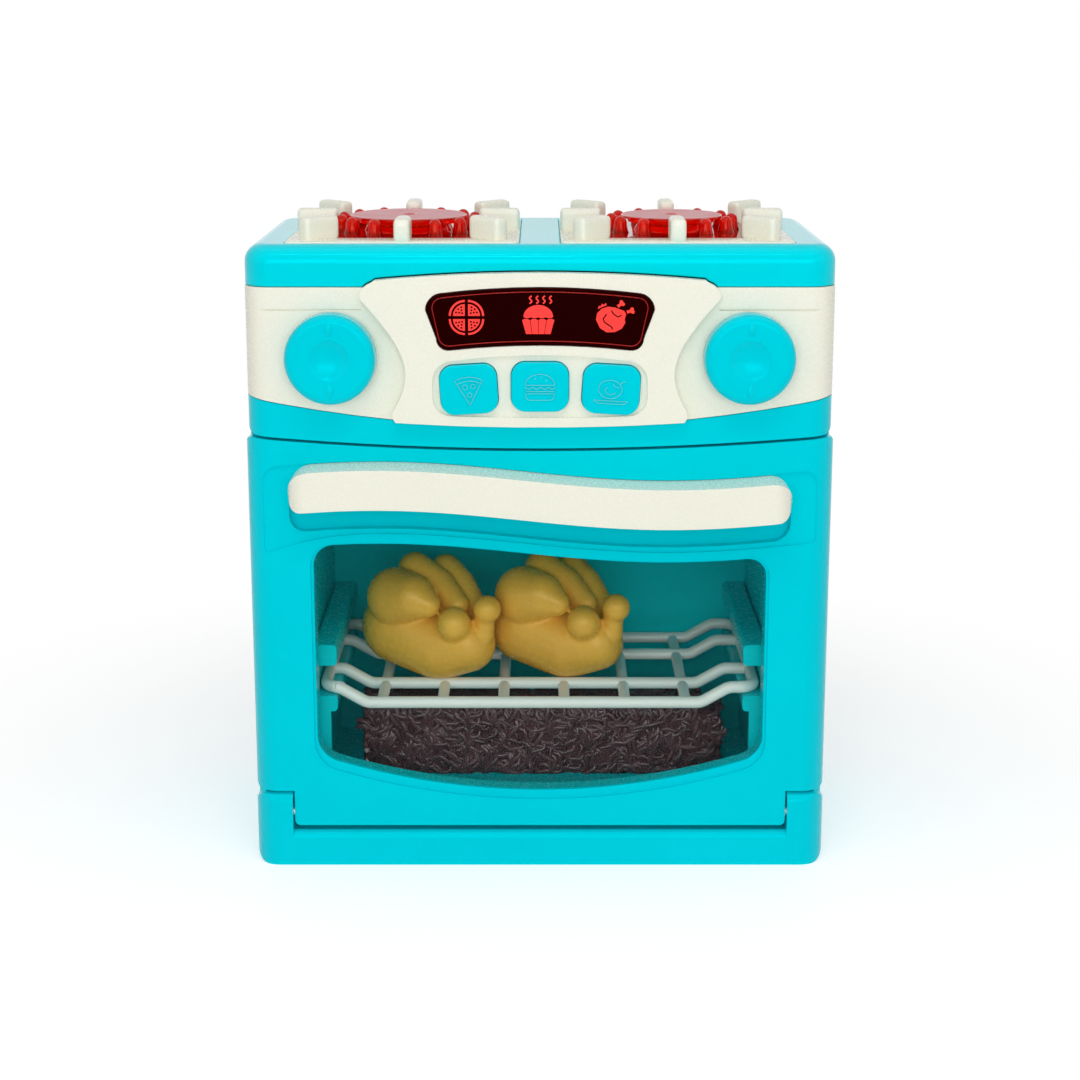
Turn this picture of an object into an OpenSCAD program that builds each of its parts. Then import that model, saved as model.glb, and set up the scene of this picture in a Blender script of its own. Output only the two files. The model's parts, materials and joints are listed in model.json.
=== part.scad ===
// Toy oven for pretend cooking: a two-burner hob, a control panel with knobs and
// push buttons, and a drop-down door in front of a cavity with a wire-style rack.
// Millimetres, +Z up, the front faces -Y, the origin is the middle of the base.

/* [Overall] */
// Width of the body across the door
body_w = 210; // [172:1:254]
// Depth of the body without the handle
body_d = 102; // [85:1:123]
// Height of the flat hob top above the table
hob_z = 229.4; // [191:0.2:276]
// Wall of the moulded shells
wall = 2.4; // [1.9:0.1:2.9]
// Radius of the upright corners seen from above
corner_r = 9; // [7.5:0.5:11]
// Gap between pieces that touch without being a fit
gap = 0.3; // [0.2:0.05:0.4]

/* [Base] */
// Height of the base between its two ears
base_h = 13; // [10.8:0.2:15.6]
// Height of the ears over the lower edge of the door
ear_rise = 12.6; // [11:0.2:15]
// Width of one ear
ear_w = 14.1; // [11.7:0.1:17]
// How far the base stands out in front of the door
base_proud = 1.5; // [0.5:0.1:2]
// Thickness of the cover under the base
base_plate_t = 2; // [1.6:0.1:2.4]

/* [Door] */
// Thickness of the whole door
door_t = 12; // [10:0.1:14.4]
// Gap between the base and the lower edge of the door
door_gap = 2; // [1.6:0.1:2.4]
// Thickness of the door's lower tab
tab_t = 8; // [7:0.1:9.6]
// Height of the hinge pins over the lower edge of the door
hinge_rise = 4; // [3.8:0.1:5]
// Radius of a hinge pin
hinge_pin_r = 2; // [1.6:0.1:2.4]
// Thickness of the front wall of the door
door_wall = 2.2; // [1.8:0.1:2.6]
// How much higher the seam over the door is at the sides
seam_rise = 4.9; // [0:0.1:6]

/* [Window] */
// Width of the door beside the window
window_side = 23.6; // [20:0.1:28]
// Distance of the window's wavy upper edge from the seam
window_drop = 38.7; // [36:0.1:46]
// Height of the window's lower edge over the door's, at the middle
window_rise = 13.4; // [11:0.1:16]
// How much higher the lower edge is at its ends
window_bow = 13.5; // [0:0.1:16]
// Height that the waves swing up and down
wave_h = 3.5; // [0:0.1:4.2]
// Length of one wave
wave_len = 206; // [172:1:247]
// Thickness of the clear pane
pane_t = 1.6; // [1.3:0.1:1.9]

/* [Handle] */
// Width of the door beside the handle
handle_side = 16.2; // [14:0.1:19.4]
// Distance of the handle's upper edge from the seam
handle_drop = 8.4; // [7:0.1:10]
// Height of the handle from edge to edge
handle_h = 14.3; // [12:0.1:17]
// How far the handle stands out from the door
handle_reach = 14; // [11.7:0.1:16.8]

/* [Control panel] */
// Height of the cap that carries the hob
cap_h = 14.4; // [12:0.1:17]
// Height of the panel at the middle
panel_h = 49.8; // [49:0.1:59]
// Height of the band between the panel and the seam, at the middle
chin_h = 7.8; // [7:0.1:9.4]
// How much higher the panel's lower edge is at the sides
panel_rise = 11.1; // [0:0.1:13]
// How much narrower the control panel and its housing are than the body
head_taper = 2; // [0:0.1:3]
// How far the centre plate stands out from the panel
plate_reach = 4; // [3.4:0.1:4.8]
// Half the width of the centre plate at its waist
plate_waist = 47; // [44:0.1:50]
// Diameter of a knob
knob_dia = 31.8; // [26.5:0.1:35]
// Radius of a knob's shaft
knob_shaft_r = 3; // [2.5:0.1:3.6]
// Width of a push button
button_w = 20; // [16.7:0.1:22]
// Height of a push button
button_h = 17.4; // [14.5:0.1:18.6]
// Distance between the middles of two buttons
button_pitch = 24.9; // [22:0.1:26]
// How far a button travels
button_travel = 2; // [1.5:0.1:2.4]

/* [Hob] */
// Rim of the cap beside the trays
hob_side_rim = 14.2; // [11.8:0.1:17]
// Rim of the cap in front of the trays
hob_front_rim = 7.8; // [7:0.1:9.4]
// Rim of the cap behind the trays
hob_back_rim = 11.8; // [9.8:0.1:14.2]
// Width of the strip between the trays
hob_strip = 14.8; // [12.3:0.1:17.8]
// Width of a tray's rim around its opening
tray_rim = 13.2; // [12:0.1:14]
// Height of the pan supports over the tray
support_h = 7.4; // [6.2:0.1:8.9]
// Room between the left burner's ring of prongs and its tray
burner_room_left = 3; // [2.6:0.1:4]
// Room between the right burner's ring of prongs and its tray
burner_room_right = 5.8; // [2.6:0.1:7]

/* [Cavity] */
// Thickness of the body beside the cavity
cavity_side = 20.8; // [18:0.1:24]
// Diameter of the rack's bars
bar_dia = 4.4; // [3.7:0.1:5]
// Height of the rack's raised ends over the cavity floor
rack_rise = 46.3; // [42:0.1:54]
// How much lower the middle of the rack is
rack_dip = 5.9; // [0:0.1:7]
// Distance between two cross straps of the rack
strap_pitch = 22.7; // [18.9:0.1:27]
// Gap between the ember bed and each side of the cavity
ember_side = 15.2; // [12.7:0.1:18]

/* [Hidden] */
$fn = 64;

// Colours that stand for the mouldings
cyan = [0, 0.8, 0.85];
cream = [0.93, 0.93, 0.86];
clear_red = [0.8, 0.05, 0.05, 0.8];
steel = [0.75, 0.76, 0.78];
black = [0.13, 0.13, 0.14];
// Overlap that joins two solids, or carries a cut through a face
eps = 0.01;

front_y = -body_d / 2;
back_y = body_d / 2;
half_w = body_w / 2;
door_back = front_y + door_t;
cabinet_front = door_back + 2 * gap;
hinge_y = front_y + tab_t / 2;
ear_in = half_w - ear_w;
panel_wall = 2.2;
panel_proud = 0.4;
panel_y = front_y - panel_proud;
panel_back = cabinet_front - 0.2;
plate_y = panel_y - plate_reach;
head_half = half_w - head_taper / 2;
cap_edge_r = 6.4;
cap_w = 2 * head_half;
shell_front = cabinet_front + 2.2;

// Heights, counted up from the table and down from the hob
door_low_z = base_h + door_gap;
door_wide_z = door_low_z + ear_rise + 0.8;
ear_h = door_low_z + ear_rise;
hinge_z = door_low_z + hinge_rise;
window_low = door_low_z + window_rise;
base_deck = base_h - 0.6;
cavity_floor = base_deck + 4;
rack_z = cavity_floor + rack_rise;
panel_top = hob_z - cap_h;
panel_low = panel_top - panel_h;
seam_z = panel_low - chin_h;
cavity_top = seam_z - 7.4;
handle_top = seam_z - handle_drop;
window_top = seam_z - window_drop;

// Half widths, counted in from the sides
window_half = half_w - window_side;
handle_half = half_w - handle_side;
cavity_half = half_w - cavity_side;
knob_shift = 2.9;
knob_x = (plate_waist + half_w) / 2 - knob_shift;
knob_z = panel_top - 24.5;

// Height of a shallow arch over x, low in the middle and higher by rise at the sides
function arch(x, low, rise) = low + rise * x * x / (half_w * half_w);
function seam(x) = arch(x, seam_z, seam_rise);
function panel_edge(x) = arch(x, panel_low, panel_rise);
// The wave that the handle, the crease and the window share, and where it crosses its middle
wave_mid = -6;
function wave(x) = -wave_h * sin(360 * (x - wave_mid) / wave_len);

// How far a rounded corner of radius r draws an edge in at x
function corner_drop(x, half, r) = abs(x) <= half - r ? 0
    : r - sqrt(max(0, r * r - pow(abs(x) - half + r, 2)));
// Places across an edge, close together where its corners are round
corner_steps = 6;
function across(half, r, n) = concat(
    [for (i = [0:corner_steps - 1]) -half + r - r * cos(90 * i / corner_steps)],
    [for (i = [0:n]) -half + r + 2 * (half - r) * i / n],
    [for (i = [corner_steps - 1:-1:0]) half - r + r * cos(90 * i / corner_steps)]);
function turned(list) = [for (i = [len(list) - 1:-1:0]) list[i]];

// Outline between an upper and a lower edge, each a height over x, with round corners
module band(top, low, half_top, half_low, r_top, r_low, n = 16) {
    top_x = across(half_top, r_top, n);
    low_x = across(half_low, r_low, n);
    polygon(concat(
        [for (x = top_x) [x, top(x) - corner_drop(x, half_top, r_top)]],
        [for (x = turned(low_x)) [x, low(x) + corner_drop(x, half_low, r_low)]]));
}

// Rectangle with round corners, centred
module round_rect(w, h, r) {
    square([w - 2 * r, h], center = true);
    square([w, h - 2 * r], center = true);
    for (sx = [-1, 1], sy = [-1, 1])
        translate([sx * (w / 2 - r), sy * (h / 2 - r)]) circle(r);
}

// Stands an outline drawn in X and Z between two depths
module upright(y0, y1) {
    translate([0, y1, 0]) rotate([90, 0, 0]) linear_extrude(y1 - y0) children();
}

// Lays an outline drawn in Y and Z across the width
module sideways(x0, x1) {
    translate([x0, 0, 0]) rotate([90, 0, 90]) linear_extrude(x1 - x0) children();
}

// The body's outline from above, drawn in by an inset
module plan(inset, y0 = front_y, y1 = back_y, half = half_w) {
    translate([0, (y0 + y1) / 2])
        round_rect(2 * (half - inset), y1 - y0 - 2 * inset, corner_r - inset);
}

// Rod along Y between two depths
module rod_y(x, z, r, y0, y1) {
    translate([x, y1, z]) rotate([90, 0, 0]) cylinder(r = r, h = y1 - y0);
}

// Upright rod between two heights
module rod_z(x, y, r, z0, z1) {
    translate([x, y, z0]) cylinder(r = r, h = z1 - z0);
}

// Pan-head screw that points along +Z, its head below the seat at z = 0
slot_w = 0.7;
module screw(head_r, head_h, shank_r, length) {
    translate([0, 0, -head_h]) difference() {
        cylinder(r = head_r, h = head_h);
        for (a = [0, 90]) rotate([0, 0, a]) translate([0, 0, head_h * 0.3])
            cube([head_r * 1.2, slot_w, head_h * 0.6 + eps], center = true);
    }
    cylinder(r = shank_r, h = length);
}

// Lower body: base, its cover, and the screws that close it
screw_r = 1.5;
screw_fit = 0.05;
post_r = 4.4;
base_head_r = 2.8;
base_head_seat = 1.2;
screw_room = 0.3;
post_bite = 0.3;
post_x = half_w - wall - post_r + post_bite;
post_front = shell_front + post_r;
post_back = back_y - wall - post_r - 1;
base_front = front_y - base_proud;
base_edge_r = 5;
ear_edge_r = 4;
lip_in = front_y + 1.4;
pin_l = 18;
pin_bite = 8;
pin_seat = 0.05;

module base_posts() {
    for (sx = [-1, 1], y = [post_front, post_back]) translate([sx * post_x, y, 0]) children();
}

// Rod on the hinge line, from x0 to x1 outwards from the inner face of an ear
module pin_rod(side, r, x0, x1) {
    translate([side * (ear_in + (x0 + x1) / 2), hinge_y, hinge_z]) rotate([0, 90, 0])
        cylinder(r = r, h = x1 - x0, center = true);
}

module base_plinth() color(cyan) {
    difference() {
        intersection() {
            linear_extrude(ear_h) plan(0, base_front);
            upright(base_front, back_y) translate([0, ear_h / 2]) round_rect(body_w, ear_h, base_edge_r);
            union() {
                sideways(-half_w, half_w) deck_profile();
                for (x = [-half_w, ear_in]) sideways(x, x + ear_w) ear_profile();
            }
        }
        difference() {
            translate([0, 0, -eps]) linear_extrude(base_deck - wall) plan(wall, base_front);
            base_posts() translate([0, 0, base_plate_t + 0.05]) cylinder(r = post_r, h = base_h);
        }
        base_posts() translate([0, 0, -eps]) cylinder(r = screw_r + screw_fit, h = base_h);
        for (sx = [-1, 1]) pin_rod(sx, hinge_pin_r + pin_seat, -eps, ear_w - wall);
    }
}

// Side view of an ear with a round front edge that the door swings over
module ear_profile() {
    translate([base_front, 0]) square([panel_back - base_front, ear_h - ear_edge_r]);
    translate([base_front + ear_edge_r, 0]) square([panel_back - base_front - ear_edge_r, ear_h]);
    translate([base_front + ear_edge_r, ear_h - ear_edge_r]) circle(ear_edge_r);
}

// Side view of the base between the ears, round at its upper front edge
module deck_profile() {
    lip_r = lip_in - base_front;
    translate([base_front, 0]) square([back_y - base_front, base_h - lip_r]);
    translate([lip_in - eps, 0]) square([back_y - lip_in, base_deck]);
    intersection() {
        translate([lip_in, base_h - lip_r]) circle(lip_r);
        translate([base_front, 0]) square([lip_r, base_h]);
    }
}

module base_plate() color(cyan) {
    difference() {
        linear_extrude(base_plate_t) plan(wall + gap, base_front);
        base_posts() translate([0, 0, -eps]) cylinder(r = screw_r + screw_room, h = base_h);
        base_posts() translate([0, 0, -eps])
            cylinder(r = base_head_r + screw_room, h = base_head_seat + eps);
    }
}

module base_screws() color(steel) {
    base_posts() translate([0, 0, base_head_seat]) screw(base_head_r, 1, screw_r, 18);
}

// Cabinet: a three-sided shell, and the liner that forms the cavity
post_h = 10;
module cabinet_shell() color(cyan) {
    top = seam_z - gap;
    difference() {
        translate([0, 0, base_deck]) linear_extrude(top - base_deck)
            intersection() {
                plan(0);
                translate([-half_w, shell_front]) square([body_w, body_d]);
            }
        translate([0, 0, base_deck - eps]) linear_extrude(body_w)
            intersection() {
                plan(wall);
                translate([-half_w, shell_front - eps]) square([body_w, body_d]);
            }
    }
    for (z = [base_deck, top - post_h]) difference() {
        translate([0, 0, z]) base_posts() cylinder(r = post_r, h = post_h);
        base_posts() rod_z(0, 0, screw_r + screw_fit, 0, body_w);
    }
}

liner_wall = 1.8;
cavity_corner = 4;
cavity_back = back_y - wall - liner_wall - gap;

module oven_liner() color(cyan) {
    outer = cavity_half + liner_wall;
    tall = cavity_top - cavity_floor;
    difference() {
        union() {
            upright(cabinet_front, shell_front - gap)
                translate([0, (seam_z + base_deck) / 2])
                    round_rect(body_w - 1, seam_z - base_deck - 2 * gap, 3);
            translate([-outer, cabinet_front, cavity_floor - liner_wall])
                cube([2 * outer, cavity_back + liner_wall - cabinet_front, tall + 2 * liner_wall]);
        }
        translate([0, 0, cavity_floor + tall / 2]) upright(cabinet_front - eps, cavity_back)
            round_rect(2 * cavity_half, tall, cavity_corner);
    }
    rib_pitch = 15;
    rib_w = 2;
    ribs = floor((cavity_half - ember_side) / rib_pitch);
    for (i = [-ribs:ribs]) translate([i * rib_pitch - rib_w / 2, cabinet_front + 6, cavity_floor - eps])
        cube([rib_w, 18, 0.8]);
}

// Rack guides: an upper and a lower rail on a plate with a rib below
guide_reach = 8.9;
guide_plate = 1.4;
guide_edge_r = 1.6;
rack_clear = 0.15;
guide_seat = rack_z - bar_dia / 2 - rack_clear;
guide_low = guide_seat - 6;
guide_up = rack_z + 9.4;
guide_h = 8;
guide_rib = 3;
guide_foot = cavity_floor + cavity_corner + gap;
guide_front = cabinet_front + 0.8;
guide_back = cavity_back - gap;
guide_wall = cavity_half - gap / 2;

module guide_rail(z0, z1) {
    translate([0, 0, (z0 + z1) / 2]) upright(guide_front, guide_back)
        translate([guide_wall - guide_reach / 2, 0]) round_rect(guide_reach, z1 - z0, guide_edge_r);
}

module rack_guide(side) color(cyan) {
    rib_w = guide_reach - 2.6;
    mirror([side < 0 ? 1 : 0, 0, 0]) {
        guide_rail(guide_low, guide_seat);
        guide_rail(guide_up, guide_up + guide_h);
        translate([guide_wall - guide_plate, guide_front, guide_foot])
            cube([guide_plate, guide_back - guide_front, guide_up + guide_h / 2 - guide_foot]);
        translate([guide_wall - rib_w - eps, guide_front, guide_foot])
            cube([rib_w, guide_rib, guide_low + 1 - guide_foot]);
    }
}

module rack_guide_left() rack_guide(-1);
module rack_guide_right() rack_guide(1);

// Ember bed: a hollow clear block with a rounded front and a low step at one end
ember_half = cavity_half - ember_side - 0.5;
ember_shift = 0.9;
ember_front = cabinet_front + 35.5;
ember_d = 20;
ember_h = 28.7;
ember_edge_r = 5;
ember_step = 7.3;
ember_step_h = 24.2;
ember_wall = 2;

module ember_profile(h, d, r, inset) {
    translate([ember_front + inset, cavity_floor])
        square([d - 2 * inset, h - r - inset]);
    translate([ember_front + r, cavity_floor]) square([d - 2 * r, h - inset]);
    for (y = [ember_front + r, ember_front + d - r])
        translate([y, cavity_floor + h - r]) circle(r - inset);
}

module ember_bed() color([0.27, 0.15, 0.17]) {
    start = ember_shift - ember_half;
    end = ember_shift + ember_half;
    main_end = end - ember_step;
    difference() {
        union() {
            sideways(start, main_end) ember_profile(ember_h, ember_d, ember_edge_r, 0);
            sideways(main_end - eps, end) ember_profile(ember_step_h, ember_d, 2, 0);
        }
        translate([0, 0, -eps]) sideways(start + ember_wall, main_end - ember_wall)
            ember_profile(ember_h, ember_d, ember_edge_r, ember_wall);
    }
}

module ember_lamp() color("white") {
    translate([0, ember_front + ember_d / 2, cavity_floor + gap]) {
        translate([-20, -5, 0]) cube([40, 10, 1.4]);
        for (x = [-12, 12]) translate([x, 0, 1.4]) {
            cylinder(r = 2.4, h = 5);
            translate([0, 0, 5]) sphere(2.4);
        }
    }
}

// Control housing: the upper box with its curved lower edge, open at the top
recess = panel_wall + gap;
housing_in = head_half - recess - wall;
housing_low = seam_z;
housing_front_in = front_y + recess + wall;
knob_bore = knob_shaft_r + 0.06;
opening_half = 40.4;
opening_low = panel_low + 3.1;
opening_top = panel_top - 5;
board_w = 96;
board_top = panel_top - 3;
board_low = panel_low + 0.8;
battery_half = 29;
battery_low = seam_z + 6.2;
battery_top = panel_top - 2.6;
switch_x = 66;
switch_z = panel_top - 25;
speaker_x = -66;
speaker_z = panel_top - 27;

module housing_block(inset) {
    intersection() {
        translate([0, 0, housing_low + inset]) linear_extrude(body_w) plan(inset, half = head_half);
        union() {
            upright(front_y - 1, panel_back) band(function(x) panel_top, function(x) seam(x) + inset,
                head_half, head_half, 0.1, 3);
            translate([-half_w, panel_back - eps, housing_low])
                cube([body_w, body_d, panel_top - housing_low]);
        }
    }
}

// Room inside the housing, open at the top
module housing_room() {
    intersection() {
        linear_extrude(panel_top + 1) intersection() {
            plan(wall, half = head_half);
            union() {
                translate([-housing_in, housing_front_in]) square([2 * housing_in, body_d]);
                translate([-half_w, panel_back + 1]) square([body_w, body_d]);
            }
        }
        union() {
            upright(front_y, panel_back) band(function(x) panel_top + 1, function(x) seam(x) + wall,
                head_half, head_half, 0.1, 3);
            translate([-half_w, panel_back - eps, housing_low + wall])
                cube([body_w, body_d, panel_top]);
        }
    }
}

// Step in the housing's front that takes the panel
module panel_step() {
    difference() {
        translate([0, 0, panel_low]) linear_extrude(panel_top) difference() {
            translate([-half_w - 1, front_y - 1]) square([body_w + 2, panel_back - front_y + 1]);
            plan(recess, half = head_half);
        }
        upright(front_y - 2, back_y) band(function(x) panel_edge(x) - gap, function(x) 0,
            half_w + 2, half_w + 2, 0.1, 0.1);
    }
}

speaker_slots = 3;
slot_pitch = 4.4;
module control_housing() color(cyan) {
    back_in = back_y - wall - 1;
    front_out = housing_front_in + recess;
    difference() {
        housing_block(0);
        panel_step();
        housing_room();
        panel_window(front_y, front_out);
        board_holes(board_thread);
        for (sx = [-1, 1]) rod_y(sx * knob_x, knob_z, knob_bore, front_y, front_out);
        translate([-battery_half, back_in, battery_low])
            cube([2 * battery_half, wall + 2, battery_top - battery_low]);
        translate([switch_x - 6, back_in, switch_z - 2.2]) cube([12, wall + 2, 4.4]);
        for (i = [-speaker_slots:speaker_slots])
            translate([speaker_x + slot_pitch * i - 1, back_in, speaker_z - 13 + abs(i) * 2])
                cube([2, wall + 2, 26 - abs(i) * 4]);
        base_posts() rod_z(0, 0, screw_r + screw_room, 0, panel_low);
    }
}

module housing_screws() color(steel) {
    for (sx = [-1, 1], y = [post_front, post_back])
        translate([sx * post_x, y, housing_low + wall]) mirror([0, 0, 1]) screw(2.8, 1.6, screw_r, 11);
}

// Opening for the display and the buttons
module panel_window(y0, y1) {
    translate([-opening_half, y0, opening_low]) cube([2 * opening_half, y1 - y0, opening_top - opening_low]);
}

// Cream panel over the front of the housing, wrapped round both corners
module panel_openings(y0, y1) {
    panel_window(y0, y1);
    for (sx = [-1, 1]) rod_y(sx * knob_x, knob_z, knob_shaft_r + 1, y0, y1);
}

// Thin groove over each knob that turns down near the side
groove_w = 0.6;
groove_drop = 8.4;
groove_side = 6.5;
groove_in = 62.5;
module panel_groove(side) {
    groove_out = half_w - groove_side;
    z = panel_top - groove_drop;
    mirror([side < 0 ? 1 : 0, 0, 0]) {
        translate([groove_in, panel_y - 1, z]) cube([groove_out - groove_in, 1 + groove_w, groove_w]);
        translate([groove_out - groove_w, panel_y - 1, panel_low])
            cube([groove_w, 1 + groove_w / 2, z - panel_low + eps]);
    }
}

module fascia_panel() color(cream) {
    difference() {
        intersection() {
            linear_extrude(2 * hob_z) difference() {
                plan(0, panel_y, half = head_half);
                plan(panel_wall, panel_y + panel_proud, half = head_half);
            }
            upright(panel_y - 1, panel_back) band(function(x) panel_top - gap / 2,
                function(x) panel_edge(x), half_w, half_w, 0.1, 0.1);
        }
        panel_openings(panel_y - 1, front_y + panel_wall + 1);
        for (side = [-1, 1]) panel_groove(side);
    }
}

// Centre plate: a waisted plate that stands proud and carries lens and buttons
plate_shoulder = panel_top - 3.5;
plate_peak = panel_top + 5.4;
plate_foot = panel_low + 0.7;
plate_sag = 2.9;
shoulder_r = 5.4;
foot_half = 50.8;
waist_z = panel_low + 19.3;
waist_bend = 20;
waist_flare = 1.1;
plate_skin = 2;
well_depth = 1.2;
function plate_side(z) = min(z < waist_z ? foot_half + 1 : half_w, plate_waist - waist_bend
    + sqrt(waist_bend * waist_bend + pow(waist_flare * (z - waist_z), 2)));
function plate_roof(x) = plate_peak - plate_sag * x * x / (60 * 60);

module plate_outline(inset = 0) {
    low = plate_foot + 3.4 + inset;
    steps = 18;
    turn_x = plate_side(plate_shoulder) - shoulder_r;
    r = shoulder_r - inset;
    right = [for (i = [0:steps]) let (z = low + (plate_shoulder - low) * i / steps)
        [plate_side(z) - inset, z]];
    round = [for (a = [15:15:75]) [turn_x + r * cos(a), plate_shoulder + r * sin(a)]];
    roof = [for (i = [0:12]) let (x = turn_x * (1 - i / 6)) [x, plate_roof(x) - inset]];
    foot = [for (i = [0:12]) let (x = (foot_half - inset) * (i / 6 - 1))
        [x, plate_foot + 1.6 * pow(x / foot_half, 2) + inset]];
    left = [for (p = turned(round)) [-p[0], p[1]]];
    down = [for (p = turned(right)) [-p[0], p[1]]];
    polygon(concat(foot, right, round, roof, left, down));
}

// The display bends down at both ends, and so does the upper edge of the well
lens_h = 20.2;
lens_half_top = 39.7;
lens_half_low = 36;
function bend(x, radius) = x * x / (2 * radius);
module lens_outline(grow) {
    band(function(x) panel_top + 0.4 + grow - bend(x, 280),
        function(x) panel_top + 0.4 - lens_h - grow - bend(x, 280),
        lens_half_top + grow, lens_half_low + grow, 5 + grow, 4.6 + grow, 8);
}

well_half = 37.6;
module well_outline() {
    band(function(x) panel_low + 26.4 - bend(x, 230), function(x) panel_low + 4.1 + bend(x, 700),
        well_half, well_half, 6, 6, 8);
}

// Places the buttons in a gentle fan
fan_tilt = 3.5;
fan_drop = 0.9;
button_z = panel_low + 15.3;
button_room = 0.3;
button_r = 4.8;
module at_button(i) {
    translate([i * button_pitch, 0, button_z - abs(i) * fan_drop]) rotate([0, i * fan_tilt, 0]) children();
}

module centre_plate() color(cream) {
    difference() {
        upright(plate_y, panel_y - 0.1) plate_outline();
        upright(plate_y + plate_skin, panel_y) plate_outline(plate_skin);
        upright(plate_y - 1, panel_y) lens_outline(0.2);
        upright(plate_y - 1, plate_y + well_depth) well_outline();
        for (i = [-1:1]) at_button(i) upright(plate_y - 1, panel_y)
            round_rect(button_w + 2 * button_room, button_h + 2 * button_room, button_r + button_room);
    }
}

lens_flange = 1.2;
lens_back = plate_y + plate_skin + gap + lens_flange;
module display_lens() color([0.3, 0, 0.02, 0.9]) {
    upright(plate_y - 0.5, lens_back - lens_flange + eps) lens_outline(0);
    upright(lens_back - lens_flange, lens_back) lens_outline(1.4);
}

// A button has a domed front, and a flange that keeps it behind the plate
button_proud = 1.8;
dome_r = 90;
module button_cap(i) color(cyan) {
    back = board_y - pad_t - dome_h - gap - button_travel;
    flange = plate_y + plate_skin + gap;
    at_button(i) {
        intersection() {
            upright(plate_y - button_proud + 0.4, back) round_rect(button_w, button_h, button_r);
            translate([0, plate_y - button_proud + dome_r, 0]) sphere(dome_r, $fn = 96);
        }
        upright(flange, flange + 1.2) round_rect(button_w + 2, button_h + 2, button_r + 0.6);
    }
}

module button_left() button_cap(-1);
module button_middle() button_cap(0);
module button_right() button_cap(1);

// Electronics behind the panel
board_y = housing_front_in;
pad_t = 1;
dome_h = 0.6;
board_t = 1.6;
board_spot = 4;
board_thread = 1.15;

module circuit_board() color([0.1, 0.4, 0.2]) {
    difference() {
        translate([-board_w / 2, board_y, board_low]) cube([board_w, board_t, board_top - board_low]);
        board_holes(1.3);
    }
    for (x = [-22, 8]) translate([x, board_y + board_t - 0.1, button_z + 5]) cube([14, 2.4, 9]);
}

module board_holes(r) {
    for (sx = [-1, 1], z = [board_low + board_spot, board_top - board_spot])
        rod_y(sx * (board_w / 2 - board_spot), z, r, board_y - 2, board_y + 3);
}

module board_screws() color(steel) {
    for (sx = [-1, 1], z = [board_low + board_spot, board_top - board_spot])
        translate([sx * (board_w / 2 - board_spot), board_y + board_t + 0.05, z]) rotate([90, 0, 0])
            screw(2.2, 1.2, 1.1, board_t + 1.4);
}

lamp_r = 2.6;
lamp_pitch = 26.5;
lamp_z = panel_top - 11;
module led_lamps() color([1, 0.3, 0.2]) {
    tip = lens_back + lamp_r + gap;
    for (i = [-1:1]) {
        rod_y(i * lamp_pitch, lamp_z, lamp_r, tip, board_y);
        translate([i * lamp_pitch, tip, lamp_z]) sphere(lamp_r);
    }
}

module button_pad() color([0.85, 0.85, 0.8]) {
    pad_y = board_y - pad_t;
    pad_h = 19;
    translate([-37, pad_y, button_z - pad_h / 2]) cube([74, pad_t - 0.05, pad_h]);
    for (i = [-1:1]) translate([i * button_pitch, pad_y - dome_h, button_z]) rotate([-90, 0, 0])
        cylinder(r = 4.5, h = dome_h + 0.1);
}

// Round speaker: a rim, a basket and a magnet
module speaker() color(black) {
    seat = back_y - wall - 0.1;
    rim = seat - 3;
    basket = seat - 8;
    rod_y(speaker_x, speaker_z, 18, rim, seat);
    rod_y(speaker_x, speaker_z, 12, basket, rim + 0.1);
    rod_y(speaker_x, speaker_z, 8, seat - 12, basket + 0.1);
}

// Battery bay in the back of the housing
cell_r = 7.1;
cell_l = 49.2;
cell_pitch = 15.4;
box_deep = 17.2;
box_wall = 1.4;
box_back = back_y - 2;
box_mid = (battery_low + battery_top) / 2;

module battery_box() color(black) {
    outer = battery_half - gap;
    difference() {
        translate([-outer, box_back - box_deep, battery_low + gap])
            cube([2 * outer, box_deep - gap, battery_top - battery_low - 2 * gap]);
        translate([-outer + box_wall, box_back - box_deep + box_wall, battery_low + gap + box_wall])
            cube([2 * (outer - box_wall), box_deep, battery_top - battery_low - 2 * (gap + box_wall)]);
    }
}

cell_y = box_back - cell_r - 0.6;
module batteries() color([0.25, 0.3, 0.35]) {
    for (i = [-1:1]) translate([-cell_l / 2, cell_y, box_mid + i * cell_pitch])
        mirror([i == 0 ? 1 : 0, 0, 0]) translate([i == 0 ? -cell_l : 0, 0, 0]) rotate([0, 90, 0]) {
            cylinder(r = cell_r, h = cell_l);
            translate([0, 0, cell_l - eps]) cylinder(r = 2.7, h = 1.2);
        }
}

module battery_contacts() color(steel) {
    for (sx = [-1, 1], i = [-1:1])
        translate([sx * (cell_l / 2 + 2.1), cell_y, box_mid + i * cell_pitch])
            cube([0.5, 9, 9], center = true);
}

cover_screw_z = battery_top - 5;
grip_pitch = 2;
module battery_cover() color(cyan) {
    difference() {
        translate([-battery_half + gap, box_back, battery_low + gap])
            cube([2 * (battery_half - gap), back_y - box_back, battery_top - battery_low - 2 * gap]);
        for (i = [0:6]) translate([-12, back_y - 0.5, battery_low + 6 + i * grip_pitch])
            cube([24, 1, 0.8]);
        rod_y(0, cover_screw_z, 1.3, box_back - 1, back_y + 1);
        rod_y(0, cover_screw_z, 2.7, back_y - 1, back_y + 1);
    }
}

module battery_cover_screw() color(steel) {
    translate([0, back_y - 1, cover_screw_z]) rotate([90, 0, 0]) screw(2.5, 0.9, 1.1, 0.9);
}

// Slide switch: its body, and the slider that moves by the switch's travel
module switch_body() color(black) {
    seat = back_y - wall - 0.1;
    difference() {
        translate([switch_x - 8, seat - 6, switch_z - 4]) cube([16, 6, 8]);
        translate([switch_x - 5.8, seat - 3, switch_z - 2]) cube([11.6, 4, 4]);
    }
}

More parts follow.
